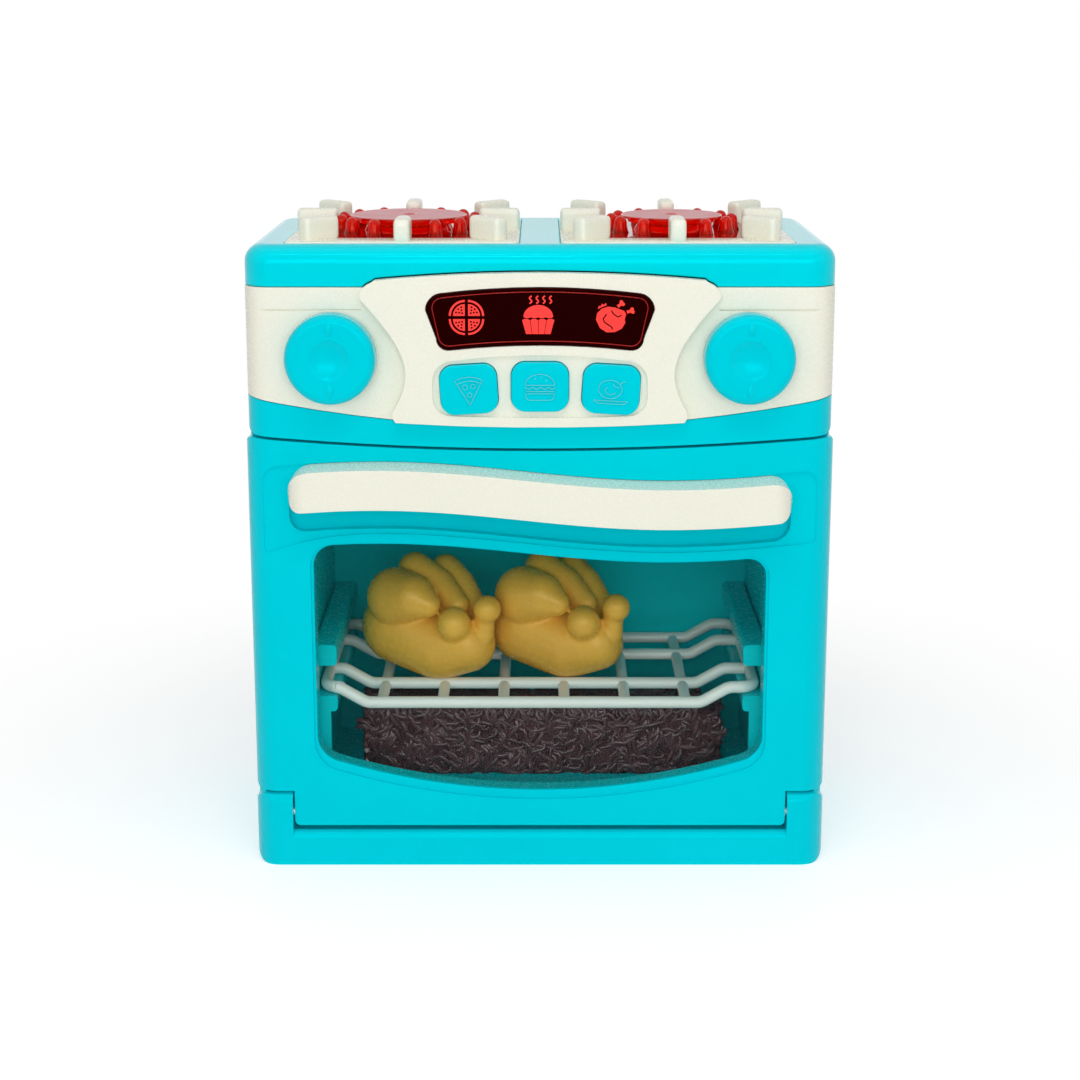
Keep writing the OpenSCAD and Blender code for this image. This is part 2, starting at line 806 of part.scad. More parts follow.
module power_switch() color(black) {
    translate([switch_x - 5.4, back_y - wall - 2.8, switch_z - 1.7]) cube([6.8, wall + 4, 3.4]);
}

// Hob: the glossy cap, two trays with pan supports, and the clear red burners
module soft_slab(w, y0, y1, h, r_plan, r_top) {
    d = y1 - y0;
    translate([0, (y0 + y1) / 2, 0]) {
        for (sx = [-1, 1], sy = [-1, 1])
            translate([sx * (w / 2 - r_plan), sy * (d / 2 - r_plan), 0]) rotate_extrude() intersection() {
                soft_section(2 * r_plan, h, r_top);
                square([r_plan, h]);
            }
        sideways(-w / 2 + r_plan, w / 2 - r_plan) soft_section(d, h, r_top);
        upright(-d / 2 + r_plan, d / 2 - r_plan) soft_section(w, h, r_top);
    }
}

// Section of a slab with round upper edges
module soft_section(w, h, r) {
    translate([-w / 2, 0]) square([w, h - r]);
    translate([-w / 2 + r, 0]) square([w - 2 * r, h]);
    for (s = [-1, 1]) translate([s * (w / 2 - r), h - r]) circle(r);
}

tray_sink = 0.8;
tray_t = tray_sink + 1;
tray_w = (cap_w - 2 * hob_side_rim - hob_strip) / 2;
tray_d = body_d - hob_front_rim - hob_back_rim;
hole_w = tray_w - 2 * tray_rim;
hole_d = tray_d - 2 * tray_rim;
burner_x = (tray_w + hob_strip) / 2;
burner_y = (hob_front_rim - hob_back_rim) / 2;
lamp_hole_r = 16;
cap_corner_r = corner_r + 1;

module hob_cap() color(cyan) {
    difference() {
        translate([0, 0, panel_top]) soft_slab(cap_w, front_y, back_y, cap_h, cap_corner_r, cap_edge_r);
        translate([0, 0, panel_top - eps]) soft_slab(cap_w - 2 * wall, front_y + wall, back_y - wall,
            cap_h - wall, cap_corner_r - wall, cap_edge_r - wall);
        upright(front_y - 1, front_y + wall + 1) plate_outline(-gap);
        for (sx = [-1, 1]) translate([sx * burner_x, burner_y, hob_z - tray_sink]) {
            translate([0, 0, 2]) cube([tray_w + 2 * gap, tray_d + 2 * gap, 4], center = true);
            translate([0, 0, -5]) cylinder(r = lamp_hole_r, h = 10);
        }
    }
}

// One pan support: a bar with flat sides, a round top and round ends, along +X
support_l = 15;
support_w = 5.8;
support_r = 3.5;
support_corner = 42.6;
module pan_support() {
    r = support_w / 2;
    intersection() {
        linear_extrude(support_h) {
            square([support_l - 2 * r, support_w], center = true);
            for (s = [-1, 1]) translate([s * (support_l / 2 - r), 0]) circle(r);
        }
        rotate([90, 0, 0]) translate([0, 0, -r]) linear_extrude(support_w) {
            translate([-support_l / 2, 0]) square([support_l, support_h - support_r]);
            translate([-support_l / 2 + support_r, 0]) square([support_l - 2 * support_r, support_h]);
            for (s = [-1, 1]) translate([s * (support_l / 2 - support_r), support_h - support_r])
                circle(support_r);
        }
    }
}

module hob_tray(side) color(cream) {
    across_x = tray_w / 2 - support_l / 2 - 0.1;
    across_y = tray_d / 2 - support_l / 2 - 0.1;
    translate([side * burner_x, burner_y, hob_z - tray_sink]) {
        linear_extrude(tray_t) difference() {
            round_rect(tray_w, tray_d, 2);
            round_rect(hole_w, hole_d, 5);
        }
        translate([0, 0, tray_t - eps]) {
            for (s = [-1, 1]) {
                translate([s * across_x, 0, 0]) pan_support();
                translate([0, s * across_y, 0]) rotate([0, 0, 90]) pan_support();
            }
            for (a = [45:90:315]) rotate([0, 0, a]) translate([support_corner, 0, 0]) pan_support();
        }
    }
}

module hob_tray_left() hob_tray(-1);
module hob_tray_right() hob_tray(1);

// Burner: base plate, a ring of flared prongs and a thin disc on a stem
prong_r = 2.3;
module prong(h) {
    foot_h = 3.4;
    rotate_extrude() {
        intersection() {
            union() {
                square([prong_r, h - prong_r]);
                translate([0, h - prong_r]) circle(prong_r);
                polygon([[0, 0], [prong_r + 0.8, 0], [prong_r + 0.5, 0.8], [prong_r + 0.2, 2],
                    [prong_r, foot_h], [0, foot_h]]);
            }
            square([prong_r * 3, h]);
        }
    }
}

disc_rise = 6.2;
prong_rise = 6.5;
disc_room = 3.5;
burner_plate = 1.2;
module burner(side, room, slots) color(clear_red) {
    ring_r = min(hole_w, hole_d) / 2 - room;
    disc_r = ring_r - disc_room;
    disc_top = disc_rise + tray_sink;
    prong_h = prong_rise + tray_sink - burner_plate;
    translate([side * burner_x, burner_y, hob_z - tray_sink]) {
        linear_extrude(burner_plate) round_rect(hole_w - 2 * gap, hole_d - 2 * gap, 4.7);
        rotate_extrude() {
            polygon([[0, burner_plate - eps], [disc_r - 5, burner_plate - eps], [disc_r - 6, 3.4],
                [disc_r - 2.6, 4.4], [disc_r - 2.4, disc_top - 1.2], [disc_r, disc_top - 1],
                [disc_r, disc_top - 0.3], [disc_r - 0.5, disc_top], [2.6, disc_top],
                [1.2, disc_top - 0.8], [0, disc_top - 0.9]]);
        }
        for (i = [1:slots - 1]) if (i != slots / 2) rotate([0, 0, 360 * i / slots - 90])
            translate([ring_r, 0, burner_plate - eps]) prong(prong_h);
    }
}

module burner_left() burner(-1, burner_room_left, 14);
module burner_right() burner(1, burner_room_right, 12);

module burner_lamps() color("white") {
    for (sx = [-1, 1]) translate([sx * burner_x, burner_y, hob_z - wall - 0.05]) {
        translate([0, 0, -board_t]) cylinder(r = lamp_hole_r + 3, h = board_t);
        for (a = [0:90:270]) rotate([0, 0, a]) translate([lamp_hole_r / 2, 0, -eps])
            cylinder(r = 2.5, h = 1.3);
    }
}

// Knob: a domed disc with a dish, two finger pips and a shaft with a screw
knob_back = panel_y - 0.8;
knob_t = 8.6;
knob_edge = 3;
dish_deep = 2.05;
dish_r = 14.05;
pip_in = 5;
shaft_end = housing_front_in + 0.4;

module knob_section(r) {
    difference() {
        intersection() {
            union() {
                square([r - knob_edge, knob_t]);
                square([r, knob_t - knob_edge]);
                translate([r - knob_edge, knob_t - knob_edge]) circle(knob_edge);
            }
            square([r, knob_t]);
        }
        translate([0, knob_t + dish_r - dish_deep]) circle(dish_r);
    }
}

module knob(side) color(cyan) {
    r = knob_dia / 2;
    shaft_l = shaft_end - knob_back;
    translate([side * knob_x, knob_back, knob_z]) difference() {
        union() {
            rotate([90, 0, 0]) rotate_extrude() knob_section(r);
            for (s = [-1, 1]) translate([0, 0.1 - knob_t, s * (r - pip_in)])
                scale([1, 0.55, 1.8]) sphere(1.3);
            rotate([-90, 0, 0]) translate([0, 0, -eps]) cylinder(r = knob_shaft_r, h = shaft_l);
        }
        translate([0, shaft_l - 6, 0]) rotate([-90, 0, 0]) cylinder(r = 1.3, h = 8);
    }
}

module knob_screw(side) color(steel) {
    translate([side * knob_x, shaft_end + 0.05, knob_z]) rotate([90, 0, 0]) screw(5, 1.4, 1.25, 4.5);
}

module knob_left() knob(-1);
module knob_right() knob(1);
module knob_screw_left() knob_screw(-1);
module knob_screw_right() knob_screw(1);

// Door: outer shell with a wavy window, inner frame, pane, handle and pins
seam_gap = 1;
crease_z = seam_z - 34.8;
crease_turn = half_w - 43;
crease_dive = 5;
scoop_half = half_w - 15.4;
scoop_low = seam_z - 33;
scoop_up = handle_top - 6;
scoop_deep = 4.6;
scoop_wall = 3.9;
recess_half = half_w - 6.3;
handle_seat = 0.8;
frame_t = 3.4;
shell_t = door_t - frame_t;
tab_half = ear_in - 2 * gap;
window_r = 7;
rim_deep = 1.2;
pane_seat = door_wall + 0.9;
pane_lap = 2.2;
pane_room = 2.4;
function door_top(x) = seam(x) - seam_gap;
function crease(x) = crease_z + wave(x)
    - (x < -crease_turn ? pow((x + crease_turn) / 36.5, 2) * crease_dive : 0);
function window_roof(x) = window_top + wave(x);
function window_floor(x) = window_low + window_bow * pow(x / window_half, 2);

module window_outline(grow, drop = 0) {
    band(function(x) window_roof(x) + grow, function(x) window_floor(x) - grow - drop,
        window_half + grow, window_half + grow, window_r + grow, window_r + grow, 20);
}

function arc(x, z, r, from, to) = [for (i = [0:corner_steps])
    let (a = from + (to - from) * i / corner_steps) [x + r * cos(a), z + r * sin(a)]];

module door_outline(inset) {
    half = half_w - inset;
    low = door_wide_z + inset;
    tab = tab_half - inset;
    tab_low = door_low_z + inset;
    top = [for (x = across(half, 3, 16)) [x, door_top(x) - inset - corner_drop(x, half, 3)]];
    right = concat(arc(half - 2.5, low + 2.5, 2.5, 0, -90), [[tab, low]],
        arc(tab - 2, tab_low + 2, 2, 0, -90));
    left = [for (p = turned(right)) [-p[0], p[1]]];
    polygon(concat(top, right, left));
}

// The solid parts inside the hollow shell: window rim, scoop, hinge ends, screw posts
hinge_end_r = 4;
door_post_r = 3.6;
module door_inside() {
    upright(front_y, front_y + 5.6) window_outline(window_rim);
    intersection() {
        upright(front_y, front_y + shell_t - 1.2) band(function(x) handle_top + 2.5 + wave(x),
            function(x) scoop_low - 2.4 + wave(x), scoop_half + scoop_wall, scoop_half + scoop_wall, 8, 5);
        linear_extrude(body_w) plan(door_wall);
    }
    for (sx = [-1, 1]) pin_rod(sx, hinge_end_r, -15, 1);
    for (p = door_screw_places) rod_y(p[0], p[1], door_post_r, front_y, front_y + shell_t);
}

window_rim = 3.4;
module door_shell() color(cyan) {
    difference() {
        intersection() {
            upright(front_y, front_y + shell_t) door_outline(0);
            linear_extrude(body_w) plan(0);
        }
        difference() {
            upright(front_y + door_wall, door_back) door_outline(door_wall);
            door_inside();
        }
        upright(front_y - 1, door_back) window_outline(0);
        upright(front_y - 1, front_y + rim_deep) window_outline(1, 2.2);
        upright(front_y + pane_seat - 0.1, door_back) window_outline(pane_room);
        upright(front_y - 1, front_y + handle_seat) band(function(x) handle_top + gap + wave(x),
            function(x) crease(x), recess_half, recess_half, 5, 2, 24);
        upright(front_y - 1, front_y + scoop_deep) band(function(x) scoop_up + wave(x),
            function(x) scoop_low + wave(x), scoop_half, scoop_half, 6, 6, 24);
        for (sx = [-1, 1]) pin_rod(sx, hinge_pin_r + 0.02, -pin_bite - 2, 2);
        for (p = door_screw_places) rod_y(p[0], p[1], 1.25, front_y + door_wall, door_back);
        for (sx = [-1, 1]) rod_y(sx * handle_screw_x, handle_screw_z(sx), 1.5, front_y, door_back);
    }
}

door_screw_places = [for (sx = [-1, 1], z = [door_wide_z + 31.6, seam_z - 49.4]) [sx * (half_w - 9), z]];
handle_screw_x = handle_half - 10.8;
function handle_screw_z(sx) = handle_top - 4.4 + wave(sx * handle_screw_x);

// The inner frame closes the shell from behind, and its lip holds the pane
frame_in = 1.6;
frame_under = 4;
module door_inner_frame() color(cyan) {
    y0 = front_y + shell_t;
    low = window_low - frame_under;
    difference() {
        union() {
            upright(y0 + 0.1, door_back) {
                band(function(x) door_top(x) - frame_in, function(x) door_wide_z + 1,
                    half_w - frame_in, half_w - frame_in, 4, 3);
                translate([0, (low + window_low + frame_under) / 2])
                    round_rect(2 * (tab_half - frame_in), 2 * frame_under, 2);
            }
            upright(front_y + pane_seat + pane_t + 0.1, y0 + 0.2) window_outline(pane_lap);
        }
        upright(front_y, door_back + 1) window_outline(0.1, 1.3);
        for (p = door_screw_places) {
            rod_y(p[0], p[1], 1.5, y0 - 1, door_back + 1);
            rod_y(p[0], p[1], 2.9, door_back - 1.2, door_back + 1);
        }
        for (sx = [-1, 1]) rod_y(sx * handle_screw_x, handle_screw_z(sx), 3.4, y0 - 1, door_back + 1);
    }
}

module door_screws() color(steel) {
    for (p = door_screw_places) translate([p[0], door_back - 1.2, p[1]]) rotate([90, 0, 0])
        screw(2.7, 1.1, 1.2, 6.5);
}

module window_pane() color([0.85, 0.95, 0.95, 0.35]) {
    upright(front_y + pane_seat, front_y + pane_seat + pane_t) window_outline(pane_lap);
}

// Handle: a cup pull, open behind and below, with a wavy outline
module handle_outline(inset) {
    band(function(x) handle_top - inset + wave(x), function(x) handle_top - handle_h + inset + wave(x),
        handle_half - inset, handle_half - 0.6 - inset, 7.5 - inset, 4 - inset * 0.5, 24);
}

handle_skin = 2.6;
handle_corner_r = 7;
module door_handle() color(cream) {
    face_y = front_y - handle_reach;
    seat_y = front_y + handle_seat;
    inside_y = face_y + handle_skin;
    difference() {
        intersection() {
            upright(face_y, seat_y) handle_outline(0);
            linear_extrude(body_w) translate([0, (face_y + back_y) / 2])
                round_rect(2 * handle_half, back_y - face_y, handle_corner_r);
        }
        difference() {
            upright(inside_y, seat_y + 1) handle_outline(handle_skin);
            for (sx = [-1, 1]) rod_y(sx * handle_screw_x, handle_screw_z(sx), 3, face_y, seat_y);
        }
        translate([0, 0, -handle_skin - 2]) upright(inside_y, seat_y + 1) handle_outline(handle_skin);
        for (sx = [-1, 1]) rod_y(sx * handle_screw_x, handle_screw_z(sx), 1.2, face_y + 4, seat_y + 1);
    }
}

module handle_screws() color(steel) {
    for (sx = [-1, 1]) translate([sx * handle_screw_x, door_back - 1.4, handle_screw_z(sx)])
        rotate([90, 0, 0]) screw(3, 1.3, 1.15, 14);
}

module hinge_pins() color(steel) {
    for (sx = [-1, 1]) pin_rod(sx, hinge_pin_r, -pin_bite, pin_l - pin_bite);
}

// Rack: four long bars that dip in the middle, two side bars and cross straps
rack_half = cavity_half - 4.1;
rack_front = cabinet_front + 4.2;
rack_back = cavity_back - 2.5;
rack_bars = [rack_front, rack_front + 21.8, rack_back - 21.6, rack_back];
rack_shift = -2.3;
dip_out = cavity_half - 11.6;
dip_in = dip_out - 10.3;
strap_w = 4.6;
strap_t = 1.8;
straps = 6;

// Round bar along a bent path, with a knuckle at each bend
module bent_bar(path, r) {
    for (i = [0:len(path) - 2]) {
        step = path[i + 1] - path[i];
        translate(path[i]) rotate([0, acos(step[2] / norm(step)), atan2(step[1], step[0])])
            cylinder(r = r, h = norm(step));
    }
    if (len(path) > 2) for (i = [1:len(path) - 2]) translate(path[i]) sphere(r * 1.01);
}

module long_bar(y) {
    low_z = rack_z - rack_dip;
    bent_bar([[-rack_half, y, rack_z], [rack_shift - dip_out, y, rack_z], [rack_shift - dip_in, y, low_z],
        [rack_shift + dip_in, y, low_z], [rack_shift + dip_out, y, rack_z], [rack_half, y, rack_z]],
        bar_dia / 2);
}

module rack() color([0.95, 0.95, 0.92]) {
    side_r = bar_dia / 2 + 0.03;
    for (y = rack_bars) long_bar(y);
    for (s = [-1, 1]) {
        translate([s * rack_half, rack_front, rack_z]) rotate([-90, 0, 0])
            cylinder(r = side_r, h = rack_back - rack_front);
        for (y = [rack_front, rack_back]) translate([s * rack_half, y, rack_z]) sphere(side_r * 1.01);
    }
    for (i = [0:straps - 1])
        translate([rack_shift + (i - (straps - 1) / 2) * strap_pitch - strap_w / 2, rack_front,
            rack_z - rack_dip]) cube([strap_w, rack_back - rack_front, strap_t]);
}

// Play food: a plump roast chicken with folded wings and crossed leg ends.
// Each lump is a place, a radius and how much taller than wide it is.
module lump(p, r, tall = 1) {
    translate(p) scale([1, 1, tall]) sphere(r, $fn = 20);
}

module chicken() color([0.8, 0.6, 0.25]) {
    hull() {
        lump([-12.3, 5, 18.3], 15.4, 1.15);
        lump([2.8, -3, 12.6], 14.2, 0.9);
        lump([4, 8, 22], 13);
    }
    hull() {
        lump([2.8, -3, 12.6], 14.2, 0.9);
        lump([13.8, -8, 14.5], 10.8, 1.06);
    }
    hull() {
        lump([-13.6, -3, 32], 11.5);
        lump([-7.4, -9, 33.8], 9);
        lump([-1.1, -13, 31.8], 5);
    }
    hull() {
        lump([-6.8, 6, 40.3], 6.9);
        lump([2.8, 1, 35.7], 6);
        lump([10.1, -7, 30], 4.5);
    }
    hull() {
        lump([4.7, 12, 38.2], 6.5);
        lump([10.3, 7, 33.9], 6.2);
        lump([16, -1, 28.2], 4.8);
    }
    hull() {
        lump([8.9, -16, 25.2], 6.2, 1.15);
        lump([10, -9, 20], 7);
    }
    lump([21.4, -13.5, 30.2], 5.4);
    hull() {
        lump([20.4, -12, 27], 4);
        lump([20.2, -12, 19.5], 4, 1.2);
        lump([15, -8, 18], 7);
    }
}

// The food lies on a flat foot, just above the rack's bars
food_foot = 1.8;
food_z = rack_z - rack_dip + bar_dia / 2 + 0.1 - food_foot;
food_y = -3;
food_pitch = 49;
food_x = -41.5;

module food_at(x, y) {
    translate([x, y, food_z]) intersection() {
        chicken();
        translate([-50, -50, food_foot]) cube(100);
    }
}

module chicken_left() food_at(food_x, food_y);
module chicken_right() food_at(food_x + food_pitch, food_y + 1.8);

base_plinth();
base_plate();
base_screws();
cabinet_shell();
oven_liner();
rack_guide_left();
rack_guide_right();
ember_bed();
ember_lamp();
control_housing();
housing_screws();
fascia_panel();
centre_plate();
display_lens();
circuit_board();
board_screws();
led_lamps();
button_pad();
speaker();
battery_box();
batteries();
battery_contacts();
battery_cover();
battery_cover_screw();
switch_body();
power_switch();
hob_cap();
hob_tray_left();
hob_tray_right();
burner_left();
burner_right();
burner_lamps();
knob_left();
knob_right();
knob_screw_left();
knob_screw_right();
button_left();
button_middle();
button_right();
door_shell();
door_inner_frame();
door_screws();
window_pane();
door_handle();
handle_screws();
hinge_pins();
rack();
chicken_left();
chicken_right();
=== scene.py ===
# %% [markdown]
# # A toy oven in Blender
# The toy oven is a moulded plastic toy: a turquoise body with a drop-down door, a cream control
# panel, and a glossy hob with clear red burners. Its construction comes packed from CAD, so this
# lesson loads it as a fixed frame and gives every piece its finish. All lengths are in metres and
# every piece stays in the one frame: +X to the right, +Y to the back, +Z up.

# %% Load the frame
import json
import math

import bmesh
import bpy
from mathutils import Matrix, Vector


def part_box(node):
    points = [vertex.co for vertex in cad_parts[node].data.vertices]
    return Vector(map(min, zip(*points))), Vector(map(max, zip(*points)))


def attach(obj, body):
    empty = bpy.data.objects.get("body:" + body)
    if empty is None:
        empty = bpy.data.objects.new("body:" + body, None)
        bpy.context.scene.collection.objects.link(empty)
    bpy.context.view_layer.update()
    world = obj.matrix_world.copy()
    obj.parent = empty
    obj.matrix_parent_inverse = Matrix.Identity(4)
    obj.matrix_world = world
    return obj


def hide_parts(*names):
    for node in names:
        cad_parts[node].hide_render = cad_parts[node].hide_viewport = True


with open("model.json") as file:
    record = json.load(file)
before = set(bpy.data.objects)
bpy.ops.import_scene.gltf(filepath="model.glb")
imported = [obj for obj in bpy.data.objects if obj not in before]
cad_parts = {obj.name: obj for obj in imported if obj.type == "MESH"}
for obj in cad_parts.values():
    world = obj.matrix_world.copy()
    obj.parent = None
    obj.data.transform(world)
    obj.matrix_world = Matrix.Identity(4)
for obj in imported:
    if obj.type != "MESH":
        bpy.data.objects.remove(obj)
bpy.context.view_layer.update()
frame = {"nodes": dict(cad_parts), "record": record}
MM = 0.001

# %% [markdown]
# ## Camera
# The photograph looks slightly down on the front of the toy. The lens, the tilt and the small
# shift were worked out from how the upright edges lean and where the level edges meet.

# %% Camera
camera_data = bpy.data.cameras.new("camera")
camera = bpy.data.objects.new("camera", camera_data)
bpy.context.scene.collection.objects.link(camera)
camera_data.sensor_width = 36
camera_data.lens = 65.53
camera_data.shift_y = -0.1
camera.location = (0, -0.73097, 0.3076)
camera.rotation_euler = (math.radians(90 - 11.975), 0, 0)
bpy.context.scene.camera = camera
print("camera", tuple(camera.location))

# %% [markdown]
# ## Light
# A product photograph of this kind is lit by large soft boxes in front of a white sweep. The
# broadest one stands in front and reaches into the oven, one hangs above and one stands at each
# side, and two narrow strips draw crisp lines of light on round edges. The white behind the object
# is a colour that only the camera, mirrors and clear plastic see, so it adds no light to the object.

# %% Studio
scene = bpy.context.scene
scene.view_settings.view_transform = "Standard"


def seen_as_white(tree, shader, white):
    """Mixes in white where a ray comes from the camera, a gloss or a clear piece."""
    nodes, links = tree.nodes, tree.links
    rays = nodes.new("ShaderNodeLightPath")
    most = nodes.new("ShaderNodeMath")
    most.operation = "MAXIMUM"
    links.new(rays.outputs["Is Camera Ray"], most.inputs[0])
    links.new(rays.outputs["Is Glossy Ray"], most.inputs[1])
    more = nodes.new("ShaderNodeMath")
    more.operation = "MAXIMUM"
    links.new(most.outputs[0], more.inputs[0])
    links.new(rays.outputs["Is Transmission Ray"], more.inputs[1])
    mix = nodes.new("ShaderNodeMixShader")
    links.new(more.outputs[0], mix.inputs[0])
    links.new(shader, mix.inputs[1])
    links.new(white, mix.inputs[2])
    return mix.outputs[0]


world = bpy.data.worlds.new("studio")
scene.world = world
world.use_nodes = True
tree = world.node_tree
tree.nodes.clear()
dim = tree.nodes.new("ShaderNodeBackground")
dim.inputs["Color"].default_value = (1, 1, 1, 1)
dim.inputs["Strength"].default_value = 0.25
bright = tree.nodes.new("ShaderNodeBackground")
bright.inputs["Color"].default_value = (1, 1, 1, 1)
bright.inputs["Strength"].default_value = 1.0
out = tree.nodes.new("ShaderNodeOutputWorld")
tree.links.new(seen_as_white(tree, dim.outputs[0], bright.outputs[0]), out.inputs["Surface"])


def soft_box(name, place, aim, width, height, watts):
    """A rectangular lamp at place that points at aim."""
    lamp = bpy.data.lights.new(name, "AREA")
    lamp.shape = "RECTANGLE"
    lamp.size, lamp.size_y = width, height
    lamp.energy = watts
    thing = bpy.data.objects.new(name, lamp)
    scene.collection.objects.link(thing)
    thing.location = place
    thing.rotation_euler = (Vector(aim) - Vector(place)).to_track_quat("-Z", "Y").to_euler()
    return thing


middle = Vector((0, 0, 0.12))
soft_box("top_box", (0, -0.25, 1.0), middle, 1.3, 0.8, 2.4)
soft_box("left_box", (-0.9, -0.75, 0.55), middle, 0.7, 0.9, 1.1)
soft_box("right_box", (0.9, -0.75, 0.55), middle, 0.7, 0.9, 1.2)
soft_box("front_box", (0, -1.3, 0.45), middle, 1.2, 0.5, 6.2)
soft_box("edge_strip", (-0.05, -0.75, 0.85), middle, 0.16, 0.02, 0.45)
soft_box("long_strip", (0, -0.6, 1.0), middle, 0.7, 0.02, 0.8)

# %% [markdown]
# The floor is a matte sheet that keeps the shadow of the toy. Where only the eye or a mirror sees
# it, it is lifted a little, and with distance it fades to the white of the background, so there is
# no horizon. Both are colours alone and light nothing.

# %% Floor
FLOOR_HALF = 4
FLOOR_GREY = 0.94
LIFT = 0.4
FADE_START, FADE_END = 0.14, 0.36
floor_mesh = bpy.data.meshes.new("floor")
corners = [(x * FLOOR_HALF, y * FLOOR_HALF, 0) for x, y in ((-1, -1), (1, -1), (1, 1), (-1, 1))]
floor_mesh.from_pydata(corners, [], [(0, 1, 2, 3)])
floor = bpy.data.objects.new("floor", floor_mesh)
scene.collection.objects.link(floor)
floor_paint = bpy.data.materials.new("floor_paint")
floor_paint.use_nodes = True
tree = floor_paint.node_tree
matte = tree.nodes["Principled BSDF"]
matte.inputs["Base Color"].default_value = (FLOOR_GREY, FLOOR_GREY, FLOOR_GREY, 1)
matte.inputs["Roughness"].default_value = 0.6
matte.inputs["Specular IOR Level"].default_value = 0.2
glow = tree.nodes.new("ShaderNodeEmission")
glow.inputs["Strength"].default_value = LIFT
lifted = tree.nodes.new("ShaderNodeAddShader")
tree.links.new(matte.outputs[0], lifted.inputs[0])
tree.links.new(glow.outputs[0], lifted.inputs[1])
sweep_white = tree.nodes.new("ShaderNodeEmission")
sweep_white.inputs["Strength"].default_value = 1.0
place = tree.nodes.new("ShaderNodeTexCoord")
away = tree.nodes.new("ShaderNodeVectorMath")
away.operation = "LENGTH"
tree.links.new(place.outputs["Object"], away.inputs[0])
far = tree.nodes.new("ShaderNodeMapRange")
far.interpolation_type = "SMOOTHSTEP"
far.inputs["From Min"].default_value = FADE_START
far.inputs["From Max"].default_value = FADE_END
tree.links.new(away.outputs["Value"], far.inputs["Value"])
fade = tree.nodes.new("ShaderNodeMixShader")
tree.links.new(far.outputs["Result"], fade.inputs[0])
tree.links.new(lifted.outputs[0], fade.inputs[1])
tree.links.new(sweep_white.outputs[0], fade.inputs[2])
tree.links.new(seen_as_white(tree, matte.outputs[0], fade.outputs[0]),
               tree.nodes["Material Output"].inputs["Surface"])
floor_mesh.materials.append(floor_paint)
print("floor", 2 * FLOOR_HALF, "m wide, white from", FADE_END, "m out")

# %% [markdown]
# ## Finishes
# Moulded plastic is never one flat colour. The pigment swirls a little as it flows into the
# mould, the gloss changes where the tool was polished, and the skin has a fine grain. One helper
# builds that from noise in Object coordinates, which stay with a piece wherever it moves. A deep
# turquoise looks pale under white highlights, so its highlights are tinted with its own colour.

# %% Plastic helper
def plastic(name, colour, roughness, shine=(1, 1, 1), level=0.5, swirl=0.04, grain=0.02,
            grain_size=0.0007):
    """Opaque moulded plastic: slight swirls of pigment, uneven gloss and a fine skin.

    shine tints the highlight and level sets how strong it is; grain is the depth of the skin.
    """
    finish = bpy.data.materials.new(name)
    finish.use_nodes = True
    nodes, links = finish.node_tree.nodes, finish.node_tree.links
    shader = nodes["Principled BSDF"]
    where = nodes.new("ShaderNodeTexCoord")
    flow = nodes.new("ShaderNodeTexNoise")
    flow.inputs["Scale"].default_value = 22
    flow.inputs["Detail"].default_value = 3
    links.new(where.outputs["Object"], flow.inputs["Vector"])
    blend = nodes.new("ShaderNodeMix")
    blend.data_type = "RGBA"
    links.new(flow.outputs["Fac"], blend.inputs["Factor"])
    blend.inputs["A"].default_value = (*[c * (1 - swirl) for c in colour], 1)
    blend.inputs["B"].default_value = (*[min(1, c * (1 + swirl)) for c in colour], 1)
    links.new(blend.outputs["Result"], shader.inputs["Base Color"])
    skin = nodes.new("ShaderNodeTexNoise")
    skin.inputs["Scale"].default_value = 1 / grain_size
    skin.inputs["Detail"].default_value = 2
    links.new(where.outputs["Object"], skin.inputs["Vector"])
    gloss = nodes.new("ShaderNodeMapRange")
    gloss.inputs["To Min"].default_value = roughness - 0.04
    gloss.inputs["To Max"].default_value = roughness + 0.06
    links.new(skin.outputs["Fac"], gloss.inputs["Value"])
    links.new(gloss.outputs["Result"], shader.inputs["Roughness"])
    bump = nodes.new("ShaderNodeBump")
    bump.inputs["Strength"].default_value = grain
    bump.inputs["Distance"].default_value = 0.0002
    links.new(skin.outputs["Fac"], bump.inputs["Height"])
    links.new(bump.outputs["Normal"], shader.inputs["Normal"])
    shader.inputs["Specular Tint"].default_value = (*shine, 1)
    shader.inputs["Specular IOR Level"].default_value = level
    return finish


TURQUOISE = (0.0, 0.63, 0.74)
BLUE_SHINE = (0.0, 0.9, 1.0)
CREAM = (0.87, 0.86, 0.735)
turquoise = plastic("turquoise_satin", TURQUOISE, 0.17, BLUE_SHINE, 0.4)
turquoise_gloss = plastic("turquoise_gloss", (0.0, 0.68, 0.78), 0.1, BLUE_SHINE, 0.5, grain=0.008)
turquoise_inside = plastic("turquoise_inside", (0.0, 0.62, 0.68), 0.26, BLUE_SHINE, 0.35)
cream = plastic("cream_satin", CREAM, 0.26, level=0.4, swirl=0.015)
white_coat = plastic("rack_white", (0.88, 0.88, 0.82), 0.25, swirl=0.02)
black_plastic = plastic("black_plastic", (0.02, 0.02, 0.022), 0.4)
board_green = plastic("board_green", (0.02, 0.16, 0.06), 0.4)
pad_grey = plastic("pad_grey", (0.6, 0.6, 0.56), 0.7)
cell_grey = plastic("cell_casing", (0.09, 0.11, 0.14), 0.3)
lamp_white = plastic("lamp_white", (0.85, 0.85, 0.82), 0.3)
lens_red = plastic("lens_red", (0.006, 0.0, 0.0), 0.08, (1, 0.05, 0.05), 0.12, grain=0.0)
# The red of the thin bar round the lens is a painted highlight: it stands in for the light along the lens's
# edge.
rim_highlight_red = plastic("rim_highlight_red", (0.3, 0.004, 0.004), 0.12, (1, 0.3, 0.25), 0.6, grain=0.0)
print("plastics made:", len(bpy.data.materials))

# %% [markdown]
# Metal screws are zinc plated: bright, with a brushed roughness that changes over a millimetre.

